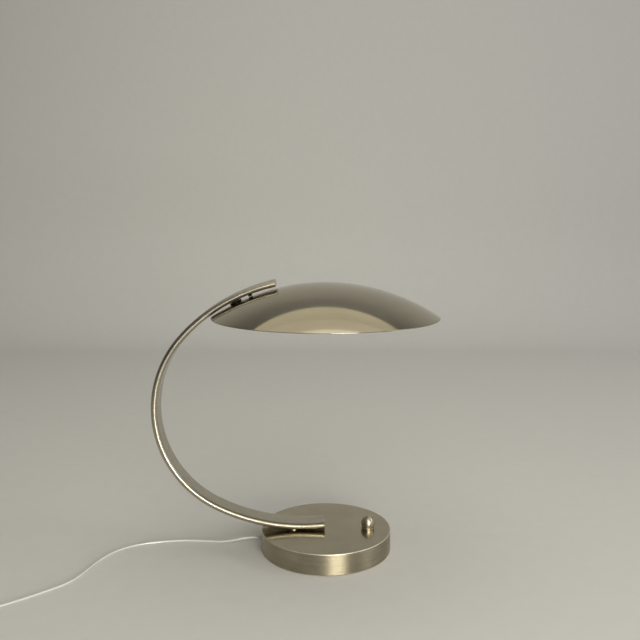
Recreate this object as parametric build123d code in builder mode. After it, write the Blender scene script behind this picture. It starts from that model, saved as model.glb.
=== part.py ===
from build123d import *
import os
from math import asin, atan2, cos, degrees, hypot, pi, radians, sin, sqrt, tan

# Arc table lamp: a round weighted base with a rotary dimmer, a flat-oval arc arm and a
# shallow dome shade on a small ball joint.
# Millimetres. Origin at the centre of the base's underside, +Z up, +X from the arm's back
# towards the dimmer knob, -Y towards the user.

os.makedirs("parts", exist_ok=True)

# Base
base_diameter = 193.0
base_height = 31.5
base_edge_radius = 1.2
base_wall = 2.0
base_top = 2.5
felt_thickness = 1.5
felt_show = 0.8
plate_thickness = 1.5
seat_clearance = 0.3
weight_disc = 12.0
weight_ring_width = 12.0
plate_screw_count = 3
plate_screw_radius = 1.75
plate_screw_head_radius = 3.4
plate_screw_length = 13.0
screw_clearance = 0.05

# Arm
arm_width = 36.6
arm_thickness = 9.4
arm_wall = 1.5
foot_end_x = -2.0
foot_gap = 1.8
foot_rise = 6.9
foot_radius = 279.4
foot_sweep = 33.5
back_radius = 161.7
back_sweep = 105.6
top_radius = 255.8
top_sweep = 35.6
cap_depth = 4.0
cap_clearance = 0.05

# Fixing of the arm's foot
nipple_x = -49.0
nipple_radius = 5.0
nipple_bore = 3.5
nipple_below_nut = 2.0
thread_clearance = 0.05
hole_clearance = 0.1
foot_plate_length = 22.0
anchor_width = 20.0
anchor_thickness = 1.4
anchor_lift = 0.25
joint_anchor_thickness = 1.1
spacer_radius = 12.0
nut_thickness = 4.0
nut_across_flats = 17.0
washer_radius = 11.0
washer_thickness = 1.5

# Dimmer
knob_x = 63.0
knob_radius = 10.0
knob_foot_radius = 8.9
knob_height = 16.4
knob_belly = 5.5
knob_gap = 0.7
knob_hollow_radius = 7.9
knob_hollow_depth = 3.4
collar_radius = 10.2
collar_thickness = 0.8
dimmer_radius = 13.0
dimmer_height = 17.0
dimmer_pocket_clearance = 2.0
bush_radius = 5.0
bush_above_top = 3.9
dimmer_nut_across_flats = 13.0
dimmer_nut_thickness = 2.5
shaft_radius = 3.0
shaft_clearance = 0.05
shaft_in_knob = 9.0
shaft_in_dimmer = 7.0

# Shade
shade_diameter = 330.0
shade_depth = 49.0
shade_thickness = 1.2
stiffener_radius = 24.0
stiffener_thickness = 1.45
braze_gap = 0.05

# Ball joint between arm and shade
joint_offset = 129.0
joint_lean = 1.4
joint_gap = 3.4
ball_radius = 6.5
ball_depth = 5.0
ball_clearance = 0.1
stud_neck_radius = 4.0
stud_collar_radius = 7.0
stud_collar_thickness = 0.5
stud_collar_drop = 0.35
stud_bore = 2.6
socket_flange_radius = 9.0
socket_flange_thickness = 1.6
socket_lift = 0.3
socket_radius = 8.0
socket_length = 14.0
socket_mouth_radius = 5.0
retainer_height = 5.0
retainer_bore = 3.2
trunnion_radius = 1.2
trunnion_inner = 3.4
trunnion_outer = 7.8
swivel_washer_radius = 12.5
swivel_washer_thickness = 0.9
swivel_nut_across_flats = 22.0
swivel_nut_thickness = 5.0
buffer_offset = 23.5
buffer_radius = 3.0
buffer_drop = 3.2
buffer_stem_radius = 1.5

# Lampholders and bulbs
bracket_thickness = 2.0
bracket_depth = 12.0
bracket_start = 25.0
bracket_reach = 12.0
bracket_ear_radius = 11.0
bracket_gap = 0.1
holder_above_rim = 16.0
holder_length = 45.0
holder_radius = 12.5
holder_back_radius = 9.0
holder_back_length = 10.0
holder_cup_depth = 20.0
holder_nipple_half = 11.5
bulb_cap_radius = 7.0
bulb_cap_length = 21.0
bulb_cap_out = 3.0
bulb_tip_radius = 4.0
bulb_tip_height = 1.4
bulb_radius = 12.5
bulb_length = 55.0
bulb_neck_radius = 6.8
bulb_shoulder = 11.0
bulb_wall = 0.8

# Wiring
cable_radius = 1.5
cable_bend = 3.4
lead_radius = 0.9
block_length = 30.0
block_width = 16.0
block_height = 11.0
block_x = 12.0
block_y = 52.0
shade_block_length = 18.0
shade_block_width = 9.0
shade_block_height = 8.0
shade_block_x = 58.0

# Power cord
cord_radius = 1.6
cord_floor = 1.65
cord_exit_angle = 175.0
cord_exit_height = 10.8
gland_tip = 8.0
gland_tip_radius = 2.1
gland_root_radius = 3.3
gland_flange_radius = 4.6
gland_flange_thickness = 1.2
gland_neck_radius = 3.9
gland_collar_radius = 5.3
gland_tail = 14.5
gland_tail_radius = 4.2
gland_bore_clearance = 0.1
mains_tail_straight = 34.5
clamp_distance = 21.8
clamp_size = 9.0
coil_start = (-446.0, -203.0)
coil_heading = 216.3
coil_outer_radius = 23.6
coil_pitch = 3.65
coil_turn_halves = 5
coil_lead = 26.0
tail_length = 36.0
tail_straight = 10.0
tail_plug_straight = 12.0
plug_length = 34.0
plug_width = 34.0
plug_back_width = 14.0
plug_height = 13.7
plug_boot_length = 12.0
plug_boot_radius = 4.0
plug_pin_radius = 2.0
plug_pin_length = 19.0
plug_pin_spacing = 19.0

# Levels in the base
base_radius = base_diameter / 2
shell_inner_radius = base_radius - base_wall
top_underside = base_height - base_top
weight_radius = shell_inner_radius - seat_clearance
weight_floor = top_underside - weight_disc
plate_top = felt_thickness + plate_thickness
plate_radius = shell_inner_radius - 0.5
ring_inner_radius = weight_radius - weight_ring_width

exit_direction = Vector(cos(radians(cord_exit_angle)), sin(radians(cord_exit_angle)), 0)


def on_exit_line(distance):
    """Point on the cord's way out of the base, at a distance from the base's axis."""
    place = exit_direction * distance
    return (place.X, place.Y, cord_exit_height)


# Arm centre line, from the foot's end round to the end over the shade
arm_low_x = foot_end_x - foot_radius * sin(radians(foot_rise))
arm_low_z = base_height + foot_gap + arm_thickness / 2
foot_end_z = arm_low_z + foot_radius * (1 - cos(radians(foot_rise)))
top_slope = 180 + foot_rise - foot_sweep - back_sweep - top_sweep


def heading(angle):
    """Unit direction in the arm's plane, counted from +X towards +Z."""
    return (cos(radians(angle)), sin(radians(angle)))


with BuildLine(Plane.XZ) as arm_line:
    foot_arc = JernArc((foot_end_x, foot_end_z), heading(180 + foot_rise), foot_radius, -foot_sweep)
    back_arc = JernArc(foot_arc @ 1, foot_arc % 1, back_radius, -back_sweep)
    top_arc = JernArc(back_arc @ 1, back_arc % 1, top_radius, -top_sweep)

# Dome, hung from the arm where the two lie side by side
shade_radius = shade_diameter / 2
dome_radius = (shade_radius**2 + shade_depth**2) / (2 * shade_depth)
joint_angle = degrees(asin(joint_offset / dome_radius))
joint_slope = joint_angle + joint_lean
joint_normal = Vector(-sin(radians(joint_angle)), 0, cos(radians(joint_angle)))
joint_tangent = Vector(cos(radians(joint_angle)), 0, sin(radians(joint_angle)))
joint_station = 1 - (joint_slope - top_slope) / top_sweep
arm_at_joint = top_arc @ joint_station
joint_point = arm_at_joint - joint_normal * (arm_thickness / 2 + joint_gap)
joint_plane = Plane(origin=joint_point, x_dir=joint_tangent, z_dir=joint_normal)
dome_centre = joint_point - joint_normal * dome_radius
shade_x = dome_centre.X
rim_z = dome_centre.Z + dome_radius - shade_depth
holder_z = rim_z + holder_above_rim
inner_dome_radius = dome_radius - shade_thickness

arm_start_plane = Plane(origin=foot_arc @ 0, x_dir=(0, 1, 0), z_dir=foot_arc % 0)
arm_finish_plane = Plane(origin=top_arc @ 1, x_dir=(0, 1, 0), z_dir=-(top_arc % 1))


def arm_bar(width, thickness):
    """Solid bar with a flat-oval section along the whole arm."""
    with BuildPart() as bar:
        with BuildLine(Plane.XZ):
            first = JernArc((foot_end_x, foot_end_z), heading(180 + foot_rise), foot_radius, -foot_sweep)
            second = JernArc(first @ 1, first % 1, back_radius, -back_sweep)
            JernArc(second @ 1, second % 1, top_radius, -top_sweep)
        with BuildSketch(arm_start_plane):
            SlotOverall(width, thickness)
        sweep()
    return bar.part


def rod(points, radii, radius):
    """Round rod along straight runs joined by arcs, one radius for each corner."""
    with BuildPart() as made:
        with BuildLine() as line:
            FilletPolyline(*points, radius=radii)
        path = line.wire()
        with BuildSketch(Plane(origin=path @ 0, z_dir=path % 0)):
            Circle(radius)
        sweep()
    return made.part


def write(part, name):
    """Label a finished piece and write its STEP file."""
    part.label = name
    export_step(part, f"parts/{name}.step")


arm_outer = arm_bar(arm_width, arm_thickness)
inner_width = arm_width - 2 * arm_wall
inner_thickness = arm_thickness - 2 * arm_wall

# Base shell: a turned can, open below
with BuildPart() as base_shell:
    with BuildSketch(Plane.XY.offset(felt_show)):
        Circle(base_radius)
    extrude(amount=base_height - felt_show)
    fillet(base_shell.edges().group_by(Axis.Z)[-1], base_edge_radius)
    with BuildSketch(Plane.XY.offset(felt_show)):
        Circle(shell_inner_radius)
    extrude(amount=top_underside - felt_show, mode=Mode.SUBTRACT)
    with Locations((nipple_x, 0, base_height)):
        Hole(nipple_radius + hole_clearance, depth=base_top)
    with Locations((knob_x, 0, base_height)):
        Hole(bush_radius + hole_clearance, depth=base_top)
    with BuildSketch(Plane(origin=on_exit_line(0), z_dir=exit_direction)):
        Circle(gland_neck_radius + hole_clearance)
    extrude(amount=base_radius + 1, mode=Mode.SUBTRACT)
write(base_shell.part, "base_shell")

plate_screw_places = PolarLocations(
    (ring_inner_radius + weight_radius) / 2, plate_screw_count, start_angle=30
)

# Base weight: cast disc with a rim that the cover plate is screwed to
with BuildPart() as base_weight:
    with BuildSketch(Plane.XY.offset(plate_top)):
        Circle(weight_radius)
    extrude(amount=top_underside - plate_top)
    with BuildSketch(Plane.XY.offset(plate_top)):
        Circle(ring_inner_radius)
    extrude(amount=weight_floor - plate_top, mode=Mode.SUBTRACT)
    with Locations((nipple_x, 0, top_underside)):
        Hole(nipple_radius + hole_clearance, depth=weight_disc)
    with Locations((knob_x, 0, top_underside)):
        Hole(dimmer_radius + dimmer_pocket_clearance, depth=weight_disc)
    with BuildSketch(Plane.XY.offset(plate_top).rotated((0, 0, cord_exit_angle))):
        with Locations((weight_radius, 0)):
            Rectangle(2 * weight_ring_width + 2, 2 * gland_collar_radius + 2)
    extrude(amount=weight_floor - plate_top, mode=Mode.SUBTRACT)
    with BuildSketch(Plane.XY.offset(plate_top)):
        with plate_screw_places:
            Circle(plate_screw_radius + screw_clearance)
    extrude(amount=plate_screw_length, mode=Mode.SUBTRACT)
write(base_weight.part, "base_weight")

# Cover plate under the base
with BuildPart() as cover_plate:
    with BuildSketch(Plane.XY.offset(felt_thickness)):
        Circle(plate_radius)
    extrude(amount=plate_thickness)
    with plate_screw_places:
        with Locations((0, 0, felt_thickness)):
            Cone(
                plate_screw_head_radius + screw_clearance,
                plate_screw_radius + screw_clearance,
                plate_thickness,
                align=(Align.CENTER, Align.CENTER, Align.MIN),
                mode=Mode.SUBTRACT,
            )
write(cover_plate.part, "cover_plate")

with BuildPart() as felt_pad:
    with BuildSketch():
        Circle(plate_radius)
    extrude(amount=felt_thickness)
write(felt_pad.part, "felt_pad")

# Countersunk screws that hold the cover plate to the weight
with BuildPart() as cover_screws:
    with plate_screw_places:
        with Locations((0, 0, felt_thickness)):
            Cone(
                plate_screw_head_radius,
                plate_screw_radius,
                plate_thickness,
                align=(Align.CENTER, Align.CENTER, Align.MIN),
            )
        with Locations((0, 0, plate_top)):
            Cylinder(
                plate_screw_radius,
                plate_screw_length - 1,
                align=(Align.CENTER, Align.CENTER, Align.MIN),
            )
write(cover_screws.part, "cover_screws")

# Fixing of the arm: a hollow threaded tube screwed into a plate inside the arm's foot
foot_wall_radius = foot_radius + arm_thickness / 2 - arm_wall
foot_lean = asin((arm_low_x - nipple_x) / foot_wall_radius)
foot_wall_z = arm_low_z + foot_radius - foot_wall_radius * cos(foot_lean)
foot_plate_plane = Plane(
    origin=(nipple_x, 0, foot_wall_z),
    x_dir=(cos(foot_lean), 0, -sin(foot_lean)),
    z_dir=(sin(foot_lean), 0, cos(foot_lean)),
)
nipple_top = foot_wall_z + anchor_lift + anchor_thickness
washer_top = weight_floor
nut_top = washer_top - washer_thickness
nipple_low = nut_top - nut_thickness - nipple_below_nut

with BuildPart() as arm_nipple:
    with BuildSketch(Plane.XY.offset(nipple_low)):
        with Locations((nipple_x, 0)):
            Circle(nipple_radius)
            Circle(nipple_bore, mode=Mode.SUBTRACT)
    extrude(amount=nipple_top - nipple_low)
write(arm_nipple.part, "arm_nipple")

with BuildPart() as foot_plate:
    with BuildSketch(foot_plate_plane.offset(anchor_lift)):
        Rectangle(foot_plate_length, anchor_width)
    extrude(amount=anchor_thickness)
    with Locations((nipple_x, 0, nipple_top + 1)):
        Hole(nipple_radius + thread_clearance, depth=anchor_thickness + 2)
write(foot_plate.part, "foot_plate")

with BuildPart() as nipple_washer:
    with BuildSketch(Plane.XY.offset(nut_top)):
        with Locations((nipple_x, 0)):
            Circle(washer_radius)
            Circle(nipple_radius + hole_clearance, mode=Mode.SUBTRACT)
    extrude(amount=washer_thickness)
write(nipple_washer.part, "nipple_washer")

with BuildPart() as nipple_nut:
    with BuildSketch(Plane.XY.offset(nut_top - nut_thickness)):
        with Locations((nipple_x, 0)):
            RegularPolygon(nut_across_flats / 2, 6, major_radius=False)
            Circle(nipple_radius + thread_clearance, mode=Mode.SUBTRACT)
    extrude(amount=nut_thickness)
write(nipple_nut.part, "nipple_nut")

# Spacer under the arm, its top hollowed to the tube
with BuildPart() as foot_spacer:
    with BuildSketch(Plane.XY.offset(base_height)):
        with Locations((nipple_x, 0)):
            Circle(spacer_radius)
            Circle(nipple_radius + hole_clearance, mode=Mode.SUBTRACT)
    extrude(amount=foot_gap + arm_thickness / 2)
    add(arm_outer, mode=Mode.SUBTRACT)
spacer_solid = foot_spacer.solids().sort_by(Axis.Z)[0]
write(Part(spacer_solid.wrapped), "foot_spacer")

# Arm: a flat-oval tube with square-cut ends
buffer_station = joint_station + degrees(buffer_offset / top_radius) / top_sweep
buffer_along = top_arc % buffer_station
buffer_normal = Vector(-buffer_along.Z, 0, buffer_along.X)
buffer_plane = Plane(
    origin=top_arc @ buffer_station - buffer_normal * (arm_thickness / 2),
    x_dir=buffer_along,
    z_dir=buffer_normal,
)

with BuildPart() as arm_tube:
    add(arm_outer)
    add(arm_bar(inner_width, inner_thickness), mode=Mode.SUBTRACT)
    with BuildSketch(Plane.XY.offset(base_height)):
        with Locations((nipple_x, 0)):
            Circle(nipple_radius + thread_clearance)
    extrude(amount=foot_gap + arm_thickness / 2, mode=Mode.SUBTRACT)
    with BuildSketch(joint_plane):
        Circle(nipple_radius + hole_clearance)
    extrude(amount=joint_gap + arm_thickness / 2, mode=Mode.SUBTRACT)
    with BuildSketch(buffer_plane.offset(-1)):
        Circle(buffer_stem_radius + thread_clearance)
    extrude(amount=1 + arm_thickness / 2, mode=Mode.SUBTRACT)
write(arm_tube.part, "arm_tube")

for name, end_plane in (("arm_foot_cap", arm_start_plane), ("arm_top_cap", arm_finish_plane)):
    with BuildPart() as end_cap:
        with BuildSketch(end_plane):
            SlotOverall(inner_width - 2 * cap_clearance, inner_thickness - 2 * cap_clearance)
        extrude(amount=cap_depth)
    write(end_cap.part, name)

# Dimmer, its shaft and the domed knob
bush_top = base_height + bush_above_top
knob_low = base_height + collar_thickness + knob_gap
knob_ceiling = knob_low + knob_hollow_depth
shaft_top = knob_ceiling + shaft_in_knob
quarter = 4 / 3 * (sqrt(2) - 1)

with BuildPart() as dimmer_body:
    with BuildSketch(Plane.XY.offset(top_underside - dimmer_height)):
        with Locations((knob_x, 0)):
            Circle(dimmer_radius)
    extrude(amount=dimmer_height)
    with BuildSketch(Plane.XY.offset(top_underside)):
        with Locations((knob_x, 0)):
            Circle(bush_radius)
    extrude(amount=bush_top - top_underside)
    with Locations((knob_x, 0, bush_top)):
        Hole(shaft_radius + shaft_clearance, depth=bush_top - top_underside + shaft_in_dimmer)
write(dimmer_body.part, "dimmer_body")

with BuildPart() as dimmer_collar:
    with BuildSketch(Plane.XY.offset(base_height)):
        with Locations((knob_x, 0)):
            Circle(collar_radius)
            Circle(bush_radius + hole_clearance, mode=Mode.SUBTRACT)
    extrude(amount=collar_thickness)
write(dimmer_collar.part, "dimmer_collar")

with BuildPart() as dimmer_nut:
    with BuildSketch(Plane.XY.offset(base_height + collar_thickness)):
        with Locations((knob_x, 0)):
            RegularPolygon(dimmer_nut_across_flats / 2, 6, major_radius=False)
            Circle(bush_radius + thread_clearance, mode=Mode.SUBTRACT)
    extrude(amount=dimmer_nut_thickness)
write(dimmer_nut.part, "dimmer_nut")

with BuildPart() as dimmer_shaft:
    with BuildSketch(Plane.XY.offset(top_underside - shaft_in_dimmer + shaft_clearance)):
        with Locations((knob_x, 0)):
            Circle(shaft_radius)
    extrude(amount=shaft_top - top_underside + shaft_in_dimmer - 2 * shaft_clearance)
write(dimmer_shaft.part, "dimmer_shaft")

with BuildPart() as dimmer_knob:
    with BuildSketch(Plane.XZ):
        with BuildLine():
            ThreePointArc(
                (knob_x + knob_foot_radius, knob_low),
                (knob_x + knob_radius - 0.3, knob_low + 0.55 * knob_belly),
                (knob_x + knob_radius, knob_low + knob_belly),
            )
            Bezier(
                (knob_x + knob_radius, knob_low + knob_belly),
                (knob_x + knob_radius, knob_low + knob_belly + quarter * (knob_height - knob_belly)),
                (knob_x + quarter * knob_radius, knob_low + knob_height),
                (knob_x, knob_low + knob_height),
            )
            Polyline(
                (knob_x, knob_low + knob_height),
                (knob_x, knob_low),
                (knob_x + knob_foot_radius, knob_low),
            )
        make_face()
    revolve(axis=Axis((knob_x, 0, 0), (0, 0, 1)))
    with BuildSketch(Plane.XY.offset(knob_low)):
        with Locations((knob_x, 0)):
            Circle(knob_hollow_radius)
    extrude(amount=knob_hollow_depth, mode=Mode.SUBTRACT)
    with BuildSketch(Plane.XY.offset(knob_ceiling)):
        with Locations((knob_x, 0)):
            Circle(shaft_radius + 0.4 * shaft_clearance)
    extrude(amount=shaft_in_knob, mode=Mode.SUBTRACT)
write(dimmer_knob.part, "dimmer_knob")


# Shade: a shallow spherical dome, level at its rim
def dome_shell(outer, thickness, axis_direction, inner_edge, outer_edge):
    """Part of a spherical shell round an axis through the dome's centre, between two radii from it."""
    along = Vector(*axis_direction)
    across = Vector(along.Z, 0, -along.X)

    def at(radius, edge):
        height = sqrt(radius**2 - edge**2)
        place = dome_centre + along * height + across * edge
        return (place.X, place.Z)

    inner = outer - thickness
    middle = (inner_edge + outer_edge) / 2
    with BuildPart() as shell:
        with BuildSketch(Plane.XZ):
            with BuildLine():
                upper = ThreePointArc(at(outer, inner_edge), at(outer, middle), at(outer, outer_edge))
                lower = ThreePointArc(at(inner, inner_edge), at(inner, middle), at(inner, outer_edge))
                Line(upper @ 0, lower @ 0)
                Line(upper @ 1, lower @ 1)
            make_face()
        revolve(axis=Axis(dome_centre, along))
    return shell.part


with BuildPart() as shade_dome:
    with BuildSketch(Plane.XZ):
        with Locations((dome_centre.X, dome_centre.Z)):
            Circle(dome_radius)
            Circle(inner_dome_radius, mode=Mode.SUBTRACT)
        with Locations((dome_centre.X, rim_z)):
            Rectangle(dome_radius, dome_radius, align=(Align.MIN, Align.MIN), mode=Mode.INTERSECT)
    revolve(axis=Axis((dome_centre.X, 0, 0), (0, 0, 1)))
    with BuildSketch(joint_plane.offset(-socket_length)):
        Circle(socket_radius + hole_clearance)
    extrude(amount=socket_length + joint_gap, mode=Mode.SUBTRACT)
write(shade_dome.part, "shade_dome")

write(
    dome_shell(
        inner_dome_radius - braze_gap,
        stiffener_thickness,
        joint_normal,
        socket_radius + hole_clearance,
        stiffener_radius,
    ),
    "shade_stiffener",
)

# Ball joint
arm_under = joint_gap
anchor_low = arm_under + arm_wall + anchor_lift / 2
stud_top = anchor_low + joint_anchor_thickness
collar_top = arm_under - stud_collar_drop
ball_plane = joint_plane.offset(-ball_depth)
flange_top = socket_lift + socket_flange_thickness

with BuildPart() as joint_anchor:
    with BuildSketch(joint_plane.offset(anchor_low)):
        Rectangle(2 * socket_radius, anchor_width)
        Circle(nipple_radius + thread_clearance, mode=Mode.SUBTRACT)
    extrude(amount=joint_anchor_thickness)
write(joint_anchor.part, "joint_anchor")

with BuildPart() as ball_stud:
    with BuildSketch(joint_plane.offset(collar_top)):
        Circle(nipple_radius)
    extrude(amount=stud_top - collar_top)
    with BuildSketch(joint_plane.offset(collar_top - stud_collar_thickness)):
        Circle(stud_collar_radius)
    extrude(amount=stud_collar_thickness)
    with BuildSketch(ball_plane):
        Circle(stud_neck_radius)
    extrude(amount=ball_depth + collar_top - stud_collar_thickness)
    with Locations(ball_plane):
        Sphere(ball_radius)
    with BuildSketch(ball_plane.offset(-ball_radius)):
        Circle(stud_bore)
    extrude(amount=ball_radius + ball_depth + stud_top, mode=Mode.SUBTRACT)
    with BuildSketch(Plane(origin=ball_plane.origin, x_dir=(0, 1, 0), z_dir=joint_tangent)):
        Circle(trunnion_radius)
    extrude(amount=ball_radius, both=True, mode=Mode.SUBTRACT)
write(ball_stud.part, "ball_stud")

with BuildPart() as trunnion_pins:
    for side in (1, -1):
        with BuildSketch(
            Plane(
                origin=ball_plane.origin + joint_tangent * (side * trunnion_inner),
                x_dir=(0, 1, 0),
                z_dir=joint_tangent * side,
            )
        ):
            Circle(trunnion_radius)
        extrude(amount=trunnion_outer - trunnion_inner)
write(trunnion_pins.part, "trunnion_pins")

with BuildPart() as joint_socket:
    with BuildSketch(joint_plane.offset(socket_lift)):
        Circle(socket_flange_radius)
    extrude(amount=socket_flange_thickness)
    with BuildSketch(joint_plane.offset(socket_lift)):
        Circle(socket_radius)
    extrude(amount=-(socket_length + socket_lift))
    with Locations(ball_plane):
        Sphere(ball_radius + ball_clearance, mode=Mode.SUBTRACT)
    with BuildSketch(ball_plane):
        Circle(socket_mouth_radius)
    extrude(amount=ball_depth + flange_top, mode=Mode.SUBTRACT)
    with BuildSketch(ball_plane):
        Circle(ball_radius + ball_clearance)
    extrude(amount=-socket_length, mode=Mode.SUBTRACT)
    with BuildSketch(Plane(origin=ball_plane.origin, x_dir=(0, 1, 0), z_dir=joint_tangent)):
        Circle(trunnion_radius + shaft_clearance)
    extrude(amount=socket_radius + 1, both=True, mode=Mode.SUBTRACT)
write(joint_socket.part, "joint_socket")

with BuildPart() as socket_retainer:
    with BuildSketch(joint_plane.offset(1 - socket_length)):
        Circle(ball_radius + ball_clearance - thread_clearance)
        Circle(retainer_bore, mode=Mode.SUBTRACT)
    extrude(amount=retainer_height)
    with Locations(ball_plane):
        Sphere(ball_radius + ball_clearance, mode=Mode.SUBTRACT)
write(socket_retainer.part, "socket_retainer")

stiffener_low = shade_thickness + braze_gap + stiffener_thickness
washer_sink = dome_radius - sqrt(dome_radius**2 - swivel_washer_radius**2)
swivel_washer_top = -(stiffener_low + washer_sink + thread_clearance)
swivel_nut_top = swivel_washer_top - swivel_washer_thickness - thread_clearance

with BuildPart() as swivel_washer:
    with BuildSketch(joint_plane.offset(swivel_washer_top)):
        Circle(swivel_washer_radius)
        Circle(socket_radius + hole_clearance, mode=Mode.SUBTRACT)
    extrude(amount=-swivel_washer_thickness)
write(swivel_washer.part, "swivel_washer")

with BuildPart() as swivel_nut:
    with BuildSketch(joint_plane.offset(swivel_nut_top)):
        RegularPolygon(swivel_nut_across_flats / 2, 6, major_radius=False)
        Circle(socket_radius + thread_clearance, mode=Mode.SUBTRACT)
    extrude(amount=-swivel_nut_thickness)
write(swivel_nut.part, "swivel_nut")

# Rubber stop between the arm and the shade, pushed into the arm's underside
with BuildPart() as shade_buffer:
    with BuildSketch(buffer_plane.offset(-buffer_drop)):
        Circle(buffer_radius)
    extrude(amount=buffer_drop - thread_clearance)
    with BuildSketch(buffer_plane.offset(-thread_clearance)):
        Circle(buffer_stem_radius)
    extrude(amount=arm_wall + 1)
write(shade_buffer.part, "shade_buffer")

# Bracket under the dome, with an ear for the lampholders
fin_outer = inner_dome_radius - bracket_gap
fin_first = joint_angle - degrees(bracket_start / dome_radius)
fin_last = -degrees(bracket_reach / dome_radius)


def under_dome(radius, angle):
    """Point in the arm's plane at an angle from the shade's axis, towards the joint."""
    return (
        dome_centre.X - radius * sin(radians(angle)),
        dome_centre.Z + radius * cos(radians(angle)),
    )


with BuildPart() as holder_bracket:
    with BuildSketch(Plane.XZ):
        with BuildLine():
            upper = ThreePointArc(
                under_dome(fin_outer, fin_first),
                under_dome(fin_outer, (fin_first + fin_last) / 2),
                under_dome(fin_outer, fin_last),
            )
            lower = ThreePointArc(
                under_dome(fin_outer - bracket_depth, fin_first),
                under_dome(fin_outer - bracket_depth, (fin_first + fin_last) / 2),
                under_dome(fin_outer - bracket_depth, fin_last),
            )
            Line(upper @ 0, lower @ 0)
            Line(upper @ 1, lower @ 1)
        make_face()
        ear_top = dome_centre.Z + fin_outer - bracket_depth / 2
        with Locations((shade_x, (ear_top + holder_z) / 2)):
            Rectangle(2 * bracket_ear_radius, ear_top - holder_z)
        with Locations((shade_x, holder_z)):
            Circle(bracket_ear_radius)
            Circle(nipple_radius + hole_clearance, mode=Mode.SUBTRACT)
    extrude(amount=bracket_thickness / 2, both=True)
write(holder_bracket.part, "holder_bracket")

with BuildPart() as holder_nipple:
    with BuildSketch(Plane(origin=(shade_x, 0, holder_z), x_dir=(1, 0, 0), z_dir=(0, 1, 0))):
        Circle(nipple_radius)
        Circle(nipple_bore, mode=Mode.SUBTRACT)
    extrude(amount=holder_nipple_half, both=True)
write(holder_nipple.part, "holder_nipple")

# Two lampholders back to back across the ear, each with its bulb
for place, side in (("front", -1), ("rear", 1)):
    holder_plane = Plane(
        origin=(shade_x, side * bracket_thickness / 2, holder_z), x_dir=(1, 0, 0), z_dir=(0, side, 0)
    )
    cup_floor = holder_length - holder_cup_depth
    with BuildPart() as lampholder:
        with BuildSketch(holder_plane):
            Circle(holder_back_radius)
        extrude(amount=holder_back_length)
        with BuildSketch(holder_plane.offset(holder_back_length)):
            Circle(holder_radius)
        extrude(amount=holder_length - holder_back_length)
        with BuildSketch(holder_plane):
            Circle(nipple_radius + thread_clearance)
        extrude(amount=holder_nipple_half, mode=Mode.SUBTRACT)
        with BuildSketch(holder_plane.offset(cup_floor)):
            Circle(bulb_cap_radius + hole_clearance)
        extrude(amount=holder_cup_depth, mode=Mode.SUBTRACT)
    write(lampholder.part, f"lampholder_{place}")

    cap_end = holder_length + bulb_cap_out
    with BuildPart() as bulb_cap:
        with BuildSketch(holder_plane.offset(cap_end - bulb_cap_length)):
            Circle(bulb_cap_radius)
        extrude(amount=bulb_cap_length)
        with BuildSketch(holder_plane.offset(cap_end - bulb_cap_length - bulb_tip_height)):
            Circle(bulb_tip_radius)
        extrude(amount=bulb_tip_height)
    write(bulb_cap.part, f"bulb_cap_{place}")

    def along_bulb(radius, reach):
        """Point of the bulb's outline: its radius, and how far it is from the cap's end."""
        return (shade_x + radius, side * (bracket_thickness / 2 + cap_end + reach))

    with BuildPart() as bulb_glass:
        for wall, mode in ((0, Mode.ADD), (bulb_wall, Mode.SUBTRACT)):
            straight_end = bulb_length - bulb_radius
            with BuildSketch(Plane.XY.offset(holder_z)):
                with BuildLine():
                    neck = Line(along_bulb(0, 0), along_bulb(bulb_neck_radius - wall, 0))
                    shoulder = Spline(
                        neck @ 1,
                        along_bulb(bulb_radius - wall, bulb_shoulder),
                        tangents=[(0.35, side), (0, side)],
                    )
                    barrel = Line(shoulder @ 1, along_bulb(bulb_radius - wall, straight_end))
                    nose = ThreePointArc(
                        barrel @ 1,
                        along_bulb(
                            (bulb_radius - wall) * sin(radians(45)),
                            straight_end + (bulb_radius - wall) * sin(radians(45)),
                        ),
                        along_bulb(0, straight_end + bulb_radius - wall),
                    )
                    Line(nose @ 1, neck @ 0)
                make_face()
            revolve(axis=Axis((shade_x, 0, holder_z), (0, 1, 0)), mode=mode)
    write(bulb_glass.part, f"bulb_glass_{place}")


# Wiring in the base
def corner_radii(points):
    """Bend radius of each corner: as round as nine tenths of the shorter run beside it allow."""
    places = [Vector(*point) for point in points]
    radii = []
    for before, corner, after in zip(places, places[1:], places[2:]):
        turn = (corner - before).get_angle(after - corner)
        shorter = min((corner - before).length, (after - corner).length)
        radii.append(0.45 * shorter / tan(radians(turn / 2)))
    return radii


with BuildPart() as terminal_block:
    with BuildSketch(Plane.XY.offset(weight_floor - block_height)):
        with Locations((block_x, block_y)):
            RectangleRounded(block_length, block_width, 1.5)
    extrude(amount=block_height)
write(terminal_block.part, "terminal_block")

clamp_plane = Plane(
    origin=on_exit_line(base_radius - clamp_distance),
    x_dir=(0, 0, 1),
    z_dir=exit_direction,
)
with BuildPart() as cord_clamp:
    with BuildSketch(clamp_plane):
        with Locations((weight_floor - cord_exit_height, 0)):
            Rectangle(clamp_size, clamp_size, align=(Align.MAX, Align.CENTER))
        Circle(cord_radius + thread_clearance, mode=Mode.SUBTRACT)
    extrude(amount=clamp_size / 2, both=True)
write(cord_clamp.part, "cord_clamp")

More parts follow.
